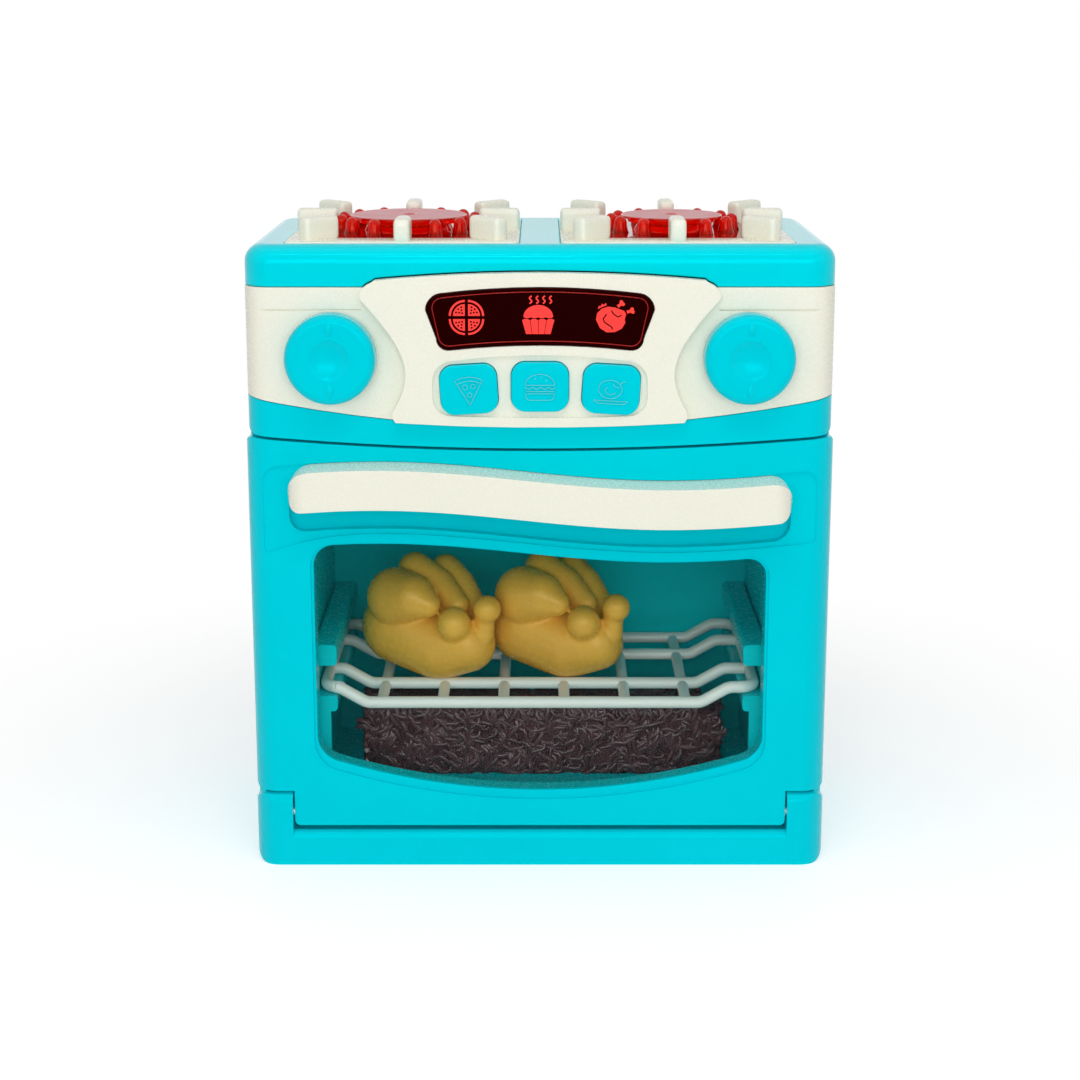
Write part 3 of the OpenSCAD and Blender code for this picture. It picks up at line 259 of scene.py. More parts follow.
# %% Zinc
zinc = bpy.data.materials.new("zinc")
zinc.use_nodes = True
nodes, links = zinc.node_tree.nodes, zinc.node_tree.links
zinc_shader = nodes["Principled BSDF"]
zinc_shader.inputs["Metallic"].default_value = 1
zinc_shader.inputs["Base Color"].default_value = (0.62, 0.63, 0.65, 1)
where = nodes.new("ShaderNodeTexCoord")
brush = nodes.new("ShaderNodeTexNoise")
brush.inputs["Scale"].default_value = 1400
links.new(where.outputs["Object"], brush.inputs["Vector"])
uneven = nodes.new("ShaderNodeMapRange")
uneven.inputs["To Min"].default_value = 0.25
uneven.inputs["To Max"].default_value = 0.5
links.new(brush.outputs["Fac"], uneven.inputs["Value"])
links.new(uneven.outputs["Result"], zinc_shader.inputs["Roughness"])

# %% [markdown]
# Clear coloured plastic tints the light that passes through it. A transmissive shader does this
# truly, but its shadow would be black without slow caustics, so rays that only look for a lamp
# pass straight through a tinted transparent shader instead.

# %% Clear plastics
def clear_plastic(name, tint, roughness, through, let_by, shine=(1, 1, 1)):
    """Tinted clear plastic. through is how much light passes, let_by the tint of its shadow."""
    finish = bpy.data.materials.new(name)
    finish.use_nodes = True
    nodes, links = finish.node_tree.nodes, finish.node_tree.links
    shader = nodes["Principled BSDF"]
    shader.inputs["Base Color"].default_value = (*tint, 1)
    shader.inputs["IOR"].default_value = 1.49
    shader.inputs["Transmission Weight"].default_value = through
    shader.inputs["Specular Tint"].default_value = (*shine, 1)
    where = nodes.new("ShaderNodeTexCoord")
    haze = nodes.new("ShaderNodeTexNoise")
    haze.inputs["Scale"].default_value = 160
    links.new(where.outputs["Object"], haze.inputs["Vector"])
    gloss = nodes.new("ShaderNodeMapRange")
    gloss.inputs["To Min"].default_value = roughness * 0.7
    gloss.inputs["To Max"].default_value = roughness * 1.4
    links.new(haze.outputs["Fac"], gloss.inputs["Value"])
    links.new(gloss.outputs["Result"], shader.inputs["Roughness"])
    rays = nodes.new("ShaderNodeLightPath")
    passing = nodes.new("ShaderNodeBsdfTransparent")
    passing.inputs["Color"].default_value = (*let_by, 1)
    mix = nodes.new("ShaderNodeMixShader")
    links.new(rays.outputs["Is Shadow Ray"], mix.inputs[0])
    links.new(shader.outputs[0], mix.inputs[1])
    links.new(passing.outputs[0], mix.inputs[2])
    links.new(mix.outputs[0], nodes["Material Output"].inputs["Surface"])
    return finish


clear_red = clear_plastic("clear_red", (0.93, 0.004, 0.0), 0.03, 0.7, (0.85, 0.1, 0.06),
                          (1, 0.3, 0.2))
frosted_red = clear_plastic("frosted_red", (0.72, 0.3, 0.32), 0.42, 0.15, (0.6, 0.1, 0.1))

# %% [markdown]
# The window pane is a thin flat sheet, so bending the light is wasted work. It is a transparent
# shader with a little mirror on top, stronger at a glancing angle. Only the side that faces out
# mirrors: a ray that isn't bent would otherwise meet a full mirror at the far side.

# %% Window
window_clear = bpy.data.materials.new("window_clear")
window_clear.use_nodes = True
nodes, links = window_clear.node_tree.nodes, window_clear.node_tree.links
nodes.remove(nodes["Principled BSDF"])
sheet = nodes.new("ShaderNodeBsdfTransparent")
sheet.inputs["Color"].default_value = (0.93, 0.96, 0.955, 1)
shine = nodes.new("ShaderNodeBsdfGlossy")
shine.inputs["Roughness"].default_value = 0.03
shine.inputs["Color"].default_value = (0.16, 0.18, 0.18, 1)
edge_on = nodes.new("ShaderNodeFresnel")
edge_on.inputs["IOR"].default_value = 1.35
where = nodes.new("ShaderNodeTexCoord")
ripple = nodes.new("ShaderNodeTexNoise")
ripple.inputs["Scale"].default_value = 18
links.new(where.outputs["Object"], ripple.inputs["Vector"])
wavy = nodes.new("ShaderNodeBump")
wavy.inputs["Strength"].default_value = 0.05
wavy.inputs["Distance"].default_value = 0.001
links.new(ripple.outputs["Fac"], wavy.inputs["Height"])
links.new(wavy.outputs["Normal"], shine.inputs["Normal"])
facing = nodes.new("ShaderNodeNewGeometry")
from_outside = nodes.new("ShaderNodeMath")
from_outside.operation = "SUBTRACT"
from_outside.inputs[0].default_value = 1.0
links.new(facing.outputs["Backfacing"], from_outside.inputs[1])
mirror_share = nodes.new("ShaderNodeMath")
mirror_share.operation = "MULTIPLY"
links.new(edge_on.outputs[0], mirror_share.inputs[0])
links.new(from_outside.outputs[0], mirror_share.inputs[1])
mix = nodes.new("ShaderNodeMixShader")
links.new(mirror_share.outputs[0], mix.inputs[0])
links.new(sheet.outputs[0], mix.inputs[1])
links.new(shine.outputs[0], mix.inputs[2])
links.new(mix.outputs[0], nodes["Material Output"].inputs["Surface"])

# %% [markdown]
# ## Soft edges
# Every edge of a moulded piece is a little round, and that line of light is what makes plastic
# look like plastic. The CAD meshes are loose triangles, so a copy is merged, its flat areas are
# made whole, and then its sharp edges are bevelled: wide where a rule picks them out and fine
# everywhere else. The copy stands for the CAD piece.

# %% Soft edge helper
def soft_copy(node, finish, wide=(), fine=0.35 * MM, sharp_angle=32):
    """A copy of a CAD node with round edges. wide is a list of (test, width, segments)."""
    source = frame["nodes"][node]
    mesh = source.data.copy()
    mesh.materials.clear()
    bm = bmesh.new()
    bm.from_mesh(mesh)
    bmesh.ops.remove_doubles(bm, verts=bm.verts, dist=0.000004)
    bmesh.ops.dissolve_limit(bm, angle_limit=math.radians(0.6), verts=bm.verts, edges=bm.edges)
    limit = math.radians(sharp_angle)
    for test, width, segments in [*wide, (lambda a, b: True, fine, 2)]:
        if width <= 0:
            continue
        edges = [e for e in bm.edges if len(e.link_faces) == 2 and e.calc_face_angle(0) > limit
                 and test(e.verts[0].co, e.verts[1].co)]
        if edges:
            bmesh.ops.bevel(bm, geom=edges, offset=width, offset_type="OFFSET", segments=segments,
                            profile=0.5, affect="EDGES", clamp_overlap=True)
    bm.to_mesh(mesh)
    bm.free()
    if "custom_normal" in mesh.attributes:
        mesh.attributes.remove(mesh.attributes["custom_normal"])
    mesh.shade_smooth()
    mesh.set_sharp_from_angle(angle=math.radians(sharp_angle))
    mesh.materials.append(finish)
    piece = bpy.data.objects.new(node + "_moulding", mesh)
    scene.collection.objects.link(piece)
    even = piece.modifiers.new("even_normals", "WEIGHTED_NORMAL")
    even.keep_sharp = True
    record = frame["record"]
    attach(piece, next(b for b, members in record["behaviour"]["bodies"].items() if node in members))
    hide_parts(node)
    print(f"{piece.name}: {len(mesh.polygons)} faces")
    return piece


def near(value, target, slack=0.3 * MM):
    return abs(value - target) < slack


# %% Shells
for node in ("base_plinth", "cabinet_shell", "control_housing"):
    soft_copy(node, turquoise, fine=0.6 * MM)
soft_copy("hob_cap", turquoise_gloss, fine=0.5 * MM)
soft_copy("door_shell", turquoise, fine=0.45 * MM)
soft_copy("door_inner_frame", turquoise_inside, fine=0.3 * MM)
soft_copy("oven_liner", turquoise_inside, fine=0.4 * MM)
for side in ("left", "right"):
    soft_copy("rack_guide_" + side, turquoise_inside, fine=0.5 * MM)
soft_copy("battery_cover", turquoise, fine=0.25 * MM)
soft_copy("base_plate", turquoise, fine=0.3 * MM)
soft_copy("fascia_panel", cream, fine=0.3 * MM)

# %% [markdown]
# ## Corner strips
# The upright corners of the door are round outside and hollow inside. A narrow strip with the same
# round face backs each corner, so that the skin is whole where the hollow comes closest to it.

# %% Corner strips
def corner_strip(side, low, high, radius, depth, start, end, steps=8):
    """An upright strip whose face follows the door's round corner between two angles."""
    centre = Vector((side * (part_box("door_shell")[1].x - radius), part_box("door_shell")[0].y + radius, 0))
    bm = bmesh.new()
    rings = []
    for z in (low, high):
        ring = []
        outward, inward = range(steps + 1), range(steps, -1, -1)
        for reach, order in ((radius + 0.02 * MM, outward), (radius - depth, inward)):
            for step in order:
                angle = math.radians(start + (end - start) * step / steps)
                ring.append(bm.verts.new(centre + Vector((side * reach * math.sin(angle),
                                                          -reach * math.cos(angle), z))))
        rings.append(ring)
    count = len(rings[0])
    for i in range(count):
        bm.faces.new((rings[0][i], rings[0][(i + 1) % count], rings[1][(i + 1) % count], rings[1][i]))
    for ring in rings:
        bm.faces.new(ring)
    bmesh.ops.recalc_face_normals(bm, faces=bm.faces)
    mesh = bpy.data.meshes.new("corner_strip")
    bm.to_mesh(mesh)
    bm.free()
    mesh.shade_smooth()
    mesh.set_sharp_from_angle(angle=math.radians(40))
    mesh.materials.append(turquoise)
    strip = bpy.data.objects.new("corner_strip_" + ("right" if side > 0 else "left"), mesh)
    scene.collection.objects.link(strip)
    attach(strip, "door")
    return strip


for side in (-1, 1):
    strip = corner_strip(side, 27 * MM, 157.6 * MM, 9 * MM, 0.8 * MM, 34, 57)
    print(strip.name, "faces:", len(strip.data.polygons))

# %% [markdown]
# ## Panel and handle
# The centre plate and the handle have broad round front edges, about two millimetres. The rule
# picks those edges by their depth: both ends of the edge lie on the frontmost face.

# %% Panel and handle
plate_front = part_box("centre_plate")[0].y
handle_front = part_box("door_handle")[0].y
PLATE_INNER_X, PLATE_TOP_Z = 43.5 * MM, 216.5 * MM


def at_plate_edge(a, b):
    """An edge on the plate's front outside the lens and buttons, or one on its top."""
    on_front = near(a.y, plate_front) and near(b.y, plate_front)
    return (on_front and max(abs(a.x), abs(b.x)) > PLATE_INNER_X) or min(a.z, b.z) > PLATE_TOP_Z


def at_handle_front(a, b):
    """An edge on the frontmost face of the handle."""
    return near(a.y, handle_front) and near(b.y, handle_front)


def before_plate(a, b):
    """An edge of a button that stands in front of the plate."""
    return max(a.y, b.y) < plate_front


soft_copy("centre_plate", cream, wide=[(at_plate_edge, 1.3 * MM, 4)], fine=0.3 * MM)
soft_copy("door_handle", cream, wide=[(at_handle_front, 2.4 * MM, 5)], fine=0.4 * MM)
for side in ("left", "right"):
    soft_copy("knob_" + side, turquoise, fine=0.3 * MM)
for side in ("left", "middle", "right"):
    soft_copy("button_" + side, turquoise, wide=[(before_plate, 0.9 * MM, 3)], fine=0.25 * MM)
soft_copy("display_lens", lens_red, fine=0.5 * MM)

# %% [markdown]
# ## Burners
# A burner is clear red plastic with a frosted disc on top. The two finishes share one mesh: each
# face that looks up at the height of the disc gets the frosted one.

# %% Burners
DISC_REACH = 19.5 * MM
for side in ("left", "right"):
    burner = soft_copy("burner_" + side, clear_red, fine=0.0, sharp_angle=40)
    burner.data.materials.append(frosted_red)
    lo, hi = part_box("burner_" + side)
    tray_lo, tray_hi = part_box("hob_tray_" + side)
    centre = Vector(((lo.x + hi.x) / 2, (tray_lo.y + tray_hi.y) / 2))
    disc_top = hi.z - 0.3 * MM
    for face in burner.data.polygons:
        off_centre = (face.center.xy - centre).length
        if face.normal.z > 0.9 and abs(face.center.z - disc_top) < 1.2 * MM and off_centre < DISC_REACH:
            face.material_index = 1

# %% [markdown]
# ## Inner pieces
# What sits inside the housing only needs its own finish, so these CAD pieces stay as they are.

# %% Finishes of the inner pieces
plain = {
    zinc: ["base_screws", "housing_screws", "board_screws", "battery_cover_screw", "knob_screw_left",
           "knob_screw_right", "door_screws", "handle_screws", "hinge_pins", "battery_contacts"],
    black_plastic: ["speaker", "battery_box", "switch_body", "power_switch"],
    board_green: ["circuit_board"], pad_grey: ["button_pad"], cell_grey: ["batteries"],
    lamp_white: ["burner_lamps", "ember_lamp"], clear_red: ["led_lamps"], window_clear: ["window_pane"],
}
for finish, members in plain.items():
    for node in members:
        thing = frame["nodes"][node]
        thing.data.materials.clear()
        thing.data.materials.append(finish)
print("plain pieces:", sum(len(m) for m in plain.values()))

# %% [markdown]
# ## Rack
# The rack is a moulded copy of a wire shelf. Each bar follows a path, so a Geometry Nodes tree
# turns any set of edges into round bars: it rounds the corners of the path and sweeps a circle
# along it. The same tree later draws the line pictures on the buttons.

# %% Round bar tree
def round_bar_tree():
    """Edges in, round bars out. Inputs: bar radius, corner radius and finish."""
    group = bpy.data.node_groups.new("round_bars", "GeometryNodeTree")
    face = group.interface
    face.new_socket("Edges", in_out="INPUT", socket_type="NodeSocketGeometry")
    face.new_socket("Bar radius", in_out="INPUT", socket_type="NodeSocketFloat").default_value = 0.002
    face.new_socket("Corner radius", in_out="INPUT", socket_type="NodeSocketFloat").default_value = 0.004
    face.new_socket("Sides", in_out="INPUT", socket_type="NodeSocketInt").default_value = 20
    face.new_socket("Finish", in_out="INPUT", socket_type="NodeSocketMaterial")
    face.new_socket("Bars", in_out="OUTPUT", socket_type="NodeSocketGeometry")
    nodes, links = group.nodes, group.links
    given = nodes.new("NodeGroupInput")
    path = nodes.new("GeometryNodeMeshToCurve")
    corner = nodes.new("GeometryNodeFilletCurve")
    if "Mode" in corner.inputs:
        corner.inputs["Mode"].default_value = "Poly"
    else:
        corner.mode = "POLY"
    corner.inputs["Count"].default_value = 8
    ring = nodes.new("GeometryNodeCurvePrimitiveCircle")
    sweep = nodes.new("GeometryNodeCurveToMesh")
    sweep.inputs["Fill Caps"].default_value = True
    smooth = nodes.new("GeometryNodeSetShadeSmooth")
    real = nodes.new("GeometryNodeRealizeInstances")
    coat = nodes.new("GeometryNodeSetMaterial")
    result = nodes.new("NodeGroupOutput")
    links.new(given.outputs["Edges"], path.inputs["Mesh"])
    links.new(path.outputs["Curve"], corner.inputs["Curve"])
    links.new(given.outputs["Corner radius"], corner.inputs["Radius"])
    links.new(given.outputs["Bar radius"], ring.inputs["Radius"])
    links.new(given.outputs["Sides"], ring.inputs["Resolution"])
    links.new(corner.outputs["Curve"], sweep.inputs["Curve"])
    links.new(ring.outputs["Curve"], sweep.inputs["Profile Curve"])
    links.new(sweep.outputs["Mesh"], smooth.inputs["Geometry"])
    links.new(smooth.outputs["Geometry"], real.inputs["Geometry"])
    links.new(real.outputs["Geometry"], coat.inputs["Geometry"])
    links.new(given.outputs["Finish"], coat.inputs["Material"])
    links.new(coat.outputs["Geometry"], result.inputs["Bars"])
    return group


round_bars = round_bar_tree()


def through_tree(name, mesh, tree, **inputs):
    """Runs a mesh through a Geometry Nodes tree and returns the result as a plain object."""
    thing = bpy.data.objects.new(name, mesh)
    scene.collection.objects.link(thing)
    modifier = thing.modifiers.new("tree", "NODES")
    modifier.node_group = tree
    sockets = {s.name: s.identifier for s in tree.interface.items_tree if s.in_out == "INPUT"}
    for label, value in inputs.items():
        modifier[sockets[label.replace("_", " ")]] = value
    bpy.context.view_layer.update()
    made = bpy.data.meshes.new_from_object(thing.evaluated_get(bpy.context.evaluated_depsgraph_get()))
    thing.modifiers.remove(modifier)
    thing.data = made
    made.name = name
    return thing


def paths_mesh(name, paths):
    """A mesh of open or closed paths, each a list of points; a closed one repeats its first."""
    points, edges = [], []
    for path in paths:
        closed = (Vector(path[0]) - Vector(path[-1])).length < 1e-9
        start = len(points)
        body = path[:-1] if closed else path
        points += [tuple(p) for p in body]
        edges += [(start + i, start + i + 1) for i in range(len(body) - 1)]
        if closed:
            edges.append((start + len(body) - 1, start))
    mesh = bpy.data.meshes.new(name)
    mesh.from_pydata(points, edges, [])
    return mesh


def joined(name, things):
    """Several objects made into one mesh."""
    bm = bmesh.new()
    finishes = []
    for thing in things:
        before = len(bm.faces)
        bm.from_mesh(thing.data)
        bm.faces.ensure_lookup_table()
        for face in bm.faces[before:]:
            finish = thing.data.materials[face.material_index]
            if finish not in finishes:
                finishes.append(finish)
            face.material_index = finishes.index(finish)
    mesh = bpy.data.meshes.new(name)
    bm.to_mesh(mesh)
    bm.free()
    for finish in finishes:
        mesh.materials.append(finish)
    for thing in things:
        bpy.data.objects.remove(thing)
    piece = bpy.data.objects.new(name, mesh)
    scene.collection.objects.link(piece)
    return piece


# %% Rack bars
rack_lo, rack_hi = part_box("rack")
bar_radius = 2.2 * MM
end_x = rack_hi.x - bar_radius - 0.05 * MM
rack_high = rack_hi.z - bar_radius - 0.05 * MM
rack_low = rack_lo.z + bar_radius
front_y, back_y = rack_lo.y + bar_radius, rack_hi.y - bar_radius
dip_outer, dip_inner = 72.6 * MM, 62.3 * MM
shift = -2.3 * MM
middle_rails = [front_y + 21.8 * MM, front_y + 56.6 * MM]


def rail(y):
    """One long bar with its two S bends, from left to right."""
    bends = [(dip_outer, rack_high), (dip_inner, rack_low)]
    return ([(-end_x, y, rack_high)] + [(shift - x, y, z) for x, z in bends]
            + [(shift + x, y, z) for x, z in bends[::-1]] + [(end_x, y, rack_high)])


outer = rail(front_y) + rail(back_y)[::-1]
outer.append(outer[0])
outer_bars = through_tree("outer_bars", paths_mesh("outer_bars", [outer]), round_bars,
                          Bar_radius=bar_radius, Corner_radius=6 * MM, Sides=20, Finish=white_coat)
rails = through_tree("rails", paths_mesh("rails", [rail(y) for y in middle_rails]), round_bars,
                     Bar_radius=bar_radius, Corner_radius=6 * MM, Sides=20, Finish=white_coat)
strap_pitch = 22.7 * MM
straps = through_tree("straps", paths_mesh("straps", [
    [(shift + (i - 2.5) * strap_pitch, y, rack_low) for y in (front_y, back_y)]
    for i in range(6)]), round_bars, Bar_radius=2.1 * MM, Corner_radius=0.0, Sides=20, Finish=white_coat)
for vertex in straps.data.vertices:
    vertex.co.z = rack_low + (vertex.co.z - rack_low) * 0.8 - 0.2 * MM
rack = joined("rack_bars", [outer_bars, rails, straps])
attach(rack, "rack")
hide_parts("rack")
print("rack faces:", len(rack.data.polygons))

# %% [markdown]
# ## Trays and pan supports
# Each cream tray is a thin frame round a square well, and eight pillow-shaped pan supports stand on
# it. The supports repeat, so a Geometry Nodes tree makes one pillow, a block whose subdivision
# rounds it, and puts it on eight points. Each point carries its own turn as an attribute.

# %% Tray frames
hob_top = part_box("hob_tray_left")[0].z + 0.8 * MM
tray_low, tray_high = hob_top - 0.8 * MM, hob_top + 0.4 * MM


def rounded_square(half, corner, steps=8):
    """Points round a square of the given half width, with round corners, counterclockwise."""
    points = []
    for quarter in range(4):
        for step in range(steps + 1):
            angle = math.radians(90 * quarter + 90 * step / steps)
            sx = 1 if quarter in (0, 3) else -1
            sy = 1 if quarter in (0, 1) else -1
            points.append((sx * (half - corner) + corner * math.cos(angle),
                           sy * (half - corner) + corner * math.sin(angle)))
    return points


def tray_frame(name, centre, half, hole_half, finish):
    """A square frame with soft top edges, made of rings of points joined in order."""
    soft = 0.4 * MM
    rings = [(half, 2 * MM, tray_low), (half, 2 * MM, tray_high - soft),
             (half - soft * 0.3, 2 * MM, tray_high - soft * 0.3), (half - soft, 2 * MM, tray_high),
             (hole_half + soft, 5 * MM, tray_high),
             (hole_half + soft * 0.3, 5 * MM, tray_high - soft * 0.3),
             (hole_half, 5 * MM, tray_high - soft), (hole_half, 5 * MM, tray_low)]
    bm = bmesh.new()
    loops = [[bm.verts.new((centre.x + x, centre.y + y, z)) for x, y in rounded_square(size, corner)]
             for size, corner, z in rings]
    count = len(loops[0])
    for one, two in zip(loops, loops[1:] + loops[:1]):
        for i in range(count):
            bm.faces.new((one[i], one[(i + 1) % count], two[(i + 1) % count], two[i]))
    bmesh.ops.recalc_face_normals(bm, faces=bm.faces)
    mesh = bpy.data.meshes.new(name)
    bm.to_mesh(mesh)
    bm.free()
    mesh.shade_smooth()
    mesh.set_sharp_from_angle(angle=math.radians(50))
    mesh.materials.append(finish)
    frame_piece = bpy.data.objects.new(name, mesh)
    scene.collection.objects.link(frame_piece)
    return frame_piece


# %% Pillow tree
def pillow_tree():
    """Points in, soft blocks out. Each point's attribute named turn is its angle in radians."""
    group = bpy.data.node_groups.new("pan_supports", "GeometryNodeTree")
    face = group.interface
    face.new_socket("Places", in_out="INPUT", socket_type="NodeSocketGeometry")
    face.new_socket("Size", in_out="INPUT",
                    socket_type="NodeSocketVector").default_value = (0.015, 0.0056, 0.009)
    face.new_socket("Finish", in_out="INPUT", socket_type="NodeSocketMaterial")
    face.new_socket("Supports", in_out="OUTPUT", socket_type="NodeSocketGeometry")
    nodes, links = group.nodes, group.links
    given = nodes.new("NodeGroupInput")
    block = nodes.new("GeometryNodeMeshCube")
    block.inputs["Vertices X"].default_value = 7
    block.inputs["Vertices Y"].default_value = 3
    block.inputs["Vertices Z"].default_value = 4
    rounder = nodes.new("GeometryNodeSubdivisionSurface")
    rounder.inputs["Level"].default_value = 2
    turn = nodes.new("GeometryNodeInputNamedAttribute")
    turn.data_type = "FLOAT"
    turn.inputs["Name"].default_value = "turn"
    about_z = nodes.new("ShaderNodeCombineXYZ")
    to_rotation = nodes.new("FunctionNodeEulerToRotation")
    put = nodes.new("GeometryNodeInstanceOnPoints")
    smooth = nodes.new("GeometryNodeSetShadeSmooth")
    real = nodes.new("GeometryNodeRealizeInstances")
    coat = nodes.new("GeometryNodeSetMaterial")
    result = nodes.new("NodeGroupOutput")
    links.new(given.outputs["Size"], block.inputs["Size"])
    links.new(block.outputs["Mesh"], rounder.inputs["Mesh"])
    links.new(rounder.outputs["Mesh"], smooth.inputs["Geometry"])
    links.new(given.outputs["Places"], put.inputs["Points"])
    links.new(smooth.outputs["Geometry"], put.inputs["Instance"])
    links.new(turn.outputs["Attribute"], about_z.inputs["Z"])
    links.new(about_z.outputs[0], to_rotation.inputs[0])
    links.new(to_rotation.outputs[0], put.inputs["Rotation"])
    links.new(put.outputs["Instances"], real.inputs["Geometry"])
    links.new(real.outputs["Geometry"], coat.inputs["Geometry"])
    links.new(given.outputs["Finish"], coat.inputs["Material"])
    links.new(coat.outputs["Geometry"], result.inputs["Supports"])
    return group


# %% Trays
pillows = pillow_tree()
support_height = 9.1 * MM
SIDE_REACH, CORNER_REACH = 33.6 * MM, 42.6 * MM
TRAY_RIM = 13.2 * MM
for side in ("left", "right"):
    lo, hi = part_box("hob_tray_" + side)
    centre = (lo + hi) / 2
    half = (hi.x - lo.x) / 2
    ring = tray_frame("tray_frame_" + side, centre, half, half - TRAY_RIM, cream)
    places = []
    for k in range(8):
        angle = math.radians(45 * k)
        reach = SIDE_REACH if k % 2 == 0 else CORNER_REACH
        places.append((centre.x + reach * math.cos(angle), centre.y + reach * math.sin(angle),
                       hi.z - support_height / 2, angle))
    points = bpy.data.meshes.new("support_places")
    points.from_pydata([p[:3] for p in places], [], [])
    turns = points.attributes.new("turn", "FLOAT", "POINT")
    for item, place in zip(turns.data, places):
        item.value = place[3]
    supports = through_tree("supports_" + side, points, pillows, Size=(15 * MM, 5.7 * MM, support_height),
                            Finish=cream)
    tray = joined("tray_" + side, [ring, supports])
    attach(tray, "cabinet")
    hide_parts("hob_tray_" + side)
    print(tray.name, "faces:", len(tray.data.polygons))

# %% [markdown]
# ## Pictures on the lens
# Three small red pictures on the dark lens are given a painted glow. Each one is drawn as flat outlines,
# where an
# outline inside another cuts a hole, and becomes a thin plate on the lens. The drawings are plain
# ones of the kind found on any kitchen toy: a sliced pie, a bun with steam, and a roast bird.

# %% Flat shape helper
glow_red = bpy.data.materials.new("glow_red")
glow_red.use_nodes = True
nodes, links = glow_red.node_tree.nodes, glow_red.node_tree.links
glow_shader = nodes["Principled BSDF"]
glow_shader.inputs["Base Color"].default_value = (0.35, 0.005, 0.002, 1)
glow_shader.inputs["Roughness"].default_value = 0.35
where = nodes.new("ShaderNodeTexCoord")
lit = nodes.new("ShaderNodeTexNoise")
lit.inputs["Scale"].default_value = 120
links.new(where.outputs["Object"], lit.inputs["Vector"])
level = nodes.new("ShaderNodeMapRange")
level.inputs["To Min"].default_value = 0.62
level.inputs["To Max"].default_value = 0.8
links.new(lit.outputs["Fac"], level.inputs["Value"])
# The pictures are not lamps: their emission is a painted glow, made uneven by the noise.
glow_shader.inputs["Emission Color"].default_value = (0.95, 0.012, 0.004, 1)
links.new(level.outputs["Result"], glow_shader.inputs["Emission Strength"])


def circle(x, y, r, wide=1.0, count=28, start=0, end=360):
    """Points of an arc; a whole turn leaves out the last point."""
    whole = end - start >= 360
    steps = count if whole else count + 1
    return [(x + wide * r * math.cos(math.radians(start + (end - start) * i / count)),
             y + r * math.sin(math.radians(start + (end - start) * i / count))) for i in range(steps)]


def ribbon(points, width):
    """The outline of a line of the given width along points."""
    left, right = [], []
    for i, (x, y) in enumerate(points):
        ax, ay = points[max(0, i - 1)]
        bx, by = points[min(len(points) - 1, i + 1)]
        long = math.hypot(bx - ax, by - ay)
        nx, ny = -(by - ay) / long * width / 2, (bx - ax) / long * width / 2
        left.append((x + nx, y + ny))
        right.append((x - nx, y - ny))
    return left + right[::-1]


def flat_shape(name, outlines, spot, finish, thick=0.05 * MM):
    """Filled outlines in millimetres become a thin plate that faces the front at spot."""
    curve = bpy.data.curves.new(name, "CURVE")
    curve.dimensions = "2D"
    curve.fill_mode = "BOTH"
    curve.extrude = thick / MM / 2
    for outline in outlines:
        line = curve.splines.new("POLY")
        line.points.add(len(outline) - 1)
        for point, (x, y) in zip(line.points, outline):
            point.co = (x, y, 0, 1)
        line.use_cyclic_u = True
    thing = bpy.data.objects.new(name, curve)
    scene.collection.objects.link(thing)
    bpy.context.view_layer.update()
    mesh = bpy.data.meshes.new_from_object(thing.evaluated_get(bpy.context.evaluated_depsgraph_get()))
    bpy.data.objects.remove(thing)
    for vertex in mesh.vertices:
        x, y, z = vertex.co
        vertex.co = (spot[0] + x * MM, spot[1] - z * MM, spot[2] + y * MM)
    mesh.name = name
    mesh.materials.clear()
    mesh.materials.append(finish)
    piece = bpy.data.objects.new(name, mesh)
    scene.collection.objects.link(piece)
    return piece


# %% Lens pictures
def pie():
    """A round pie cut in four, with a rim and round toppings."""
    shapes = []
    for quarter in range(4):
        middle_angle = 45 + 90 * quarter
        ox, oy = [0.55 * math.copysign(1, f(math.radians(middle_angle))) for f in (math.cos, math.sin)]
        a, b = 90 * quarter, 90 * quarter + 90
        shapes.append([(ox, oy)] + circle(ox, oy, 4.15, 1, 12, a, b))
        shapes.append(circle(ox, oy, 5.6, 1, 12, a, b) + circle(ox, oy, 4.85, 1, 12, a, b)[::-1])
        for reach, turn in ((3.3, 22), (3.3, 45), (3.3, 68), (2.3, 30), (2.3, 60), (1.35, 45)):
            angle = math.radians(a + turn)
            shapes.append(circle(ox + reach * math.cos(angle), oy + reach * math.sin(angle), 0.36, 1, 10))
    return shapes


def bun():
    """A bun in a pleated cup, with four wisps of steam."""
    top = circle(0, 0.3, 4.1, 1.25, 22, 0, 180)
    scallops = []
    for k in range(4):
        scallops += circle(-3.85 + 2.57 * k, 0.3, 0.55, 2.2, 6, 180, 360)[1:-1]
    shapes = [top + scallops]
    for k in range(4):
        left, right = -5.6 + 2.85 * k, -2.95 + 2.85 * k
        low_left, low_right = left * 0.76, right * 0.76
        shapes.append([(left, -0.9), (left + 0.7, -0.5), (right - 0.7, -0.5), (right, -0.9),
                       (low_right, -5.8), (low_left, -5.8)])
    for k in range(4):
        x = -3.0 + 2.3 * k
        wisp = [(x + 0.55 * math.sin(t / 8 * 2 * math.pi) + 0.09 * t, 4.9 + 0.33 * t) for t in range(9)]
        shapes.append(ribbon(wisp, 0.55))
    return shapes


def bone(x, y, lean):
    """The outline of a bone end that starts at x, y and leans by an angle in degrees."""
    shape = [(0, -0.55), (1.3, -0.5), (1.6, -1.05), (2.3, -1.15), (2.7, -0.6), (2.5, 0), (2.7, 0.6),
             (2.3, 1.15), (1.6, 1.05), (1.3, 0.5), (0, 0.55)]
    c, s = math.cos(math.radians(lean)), math.sin(math.radians(lean))
    return [(x + c * a - s * b, y + s * a + c * b) for a, b in shape]


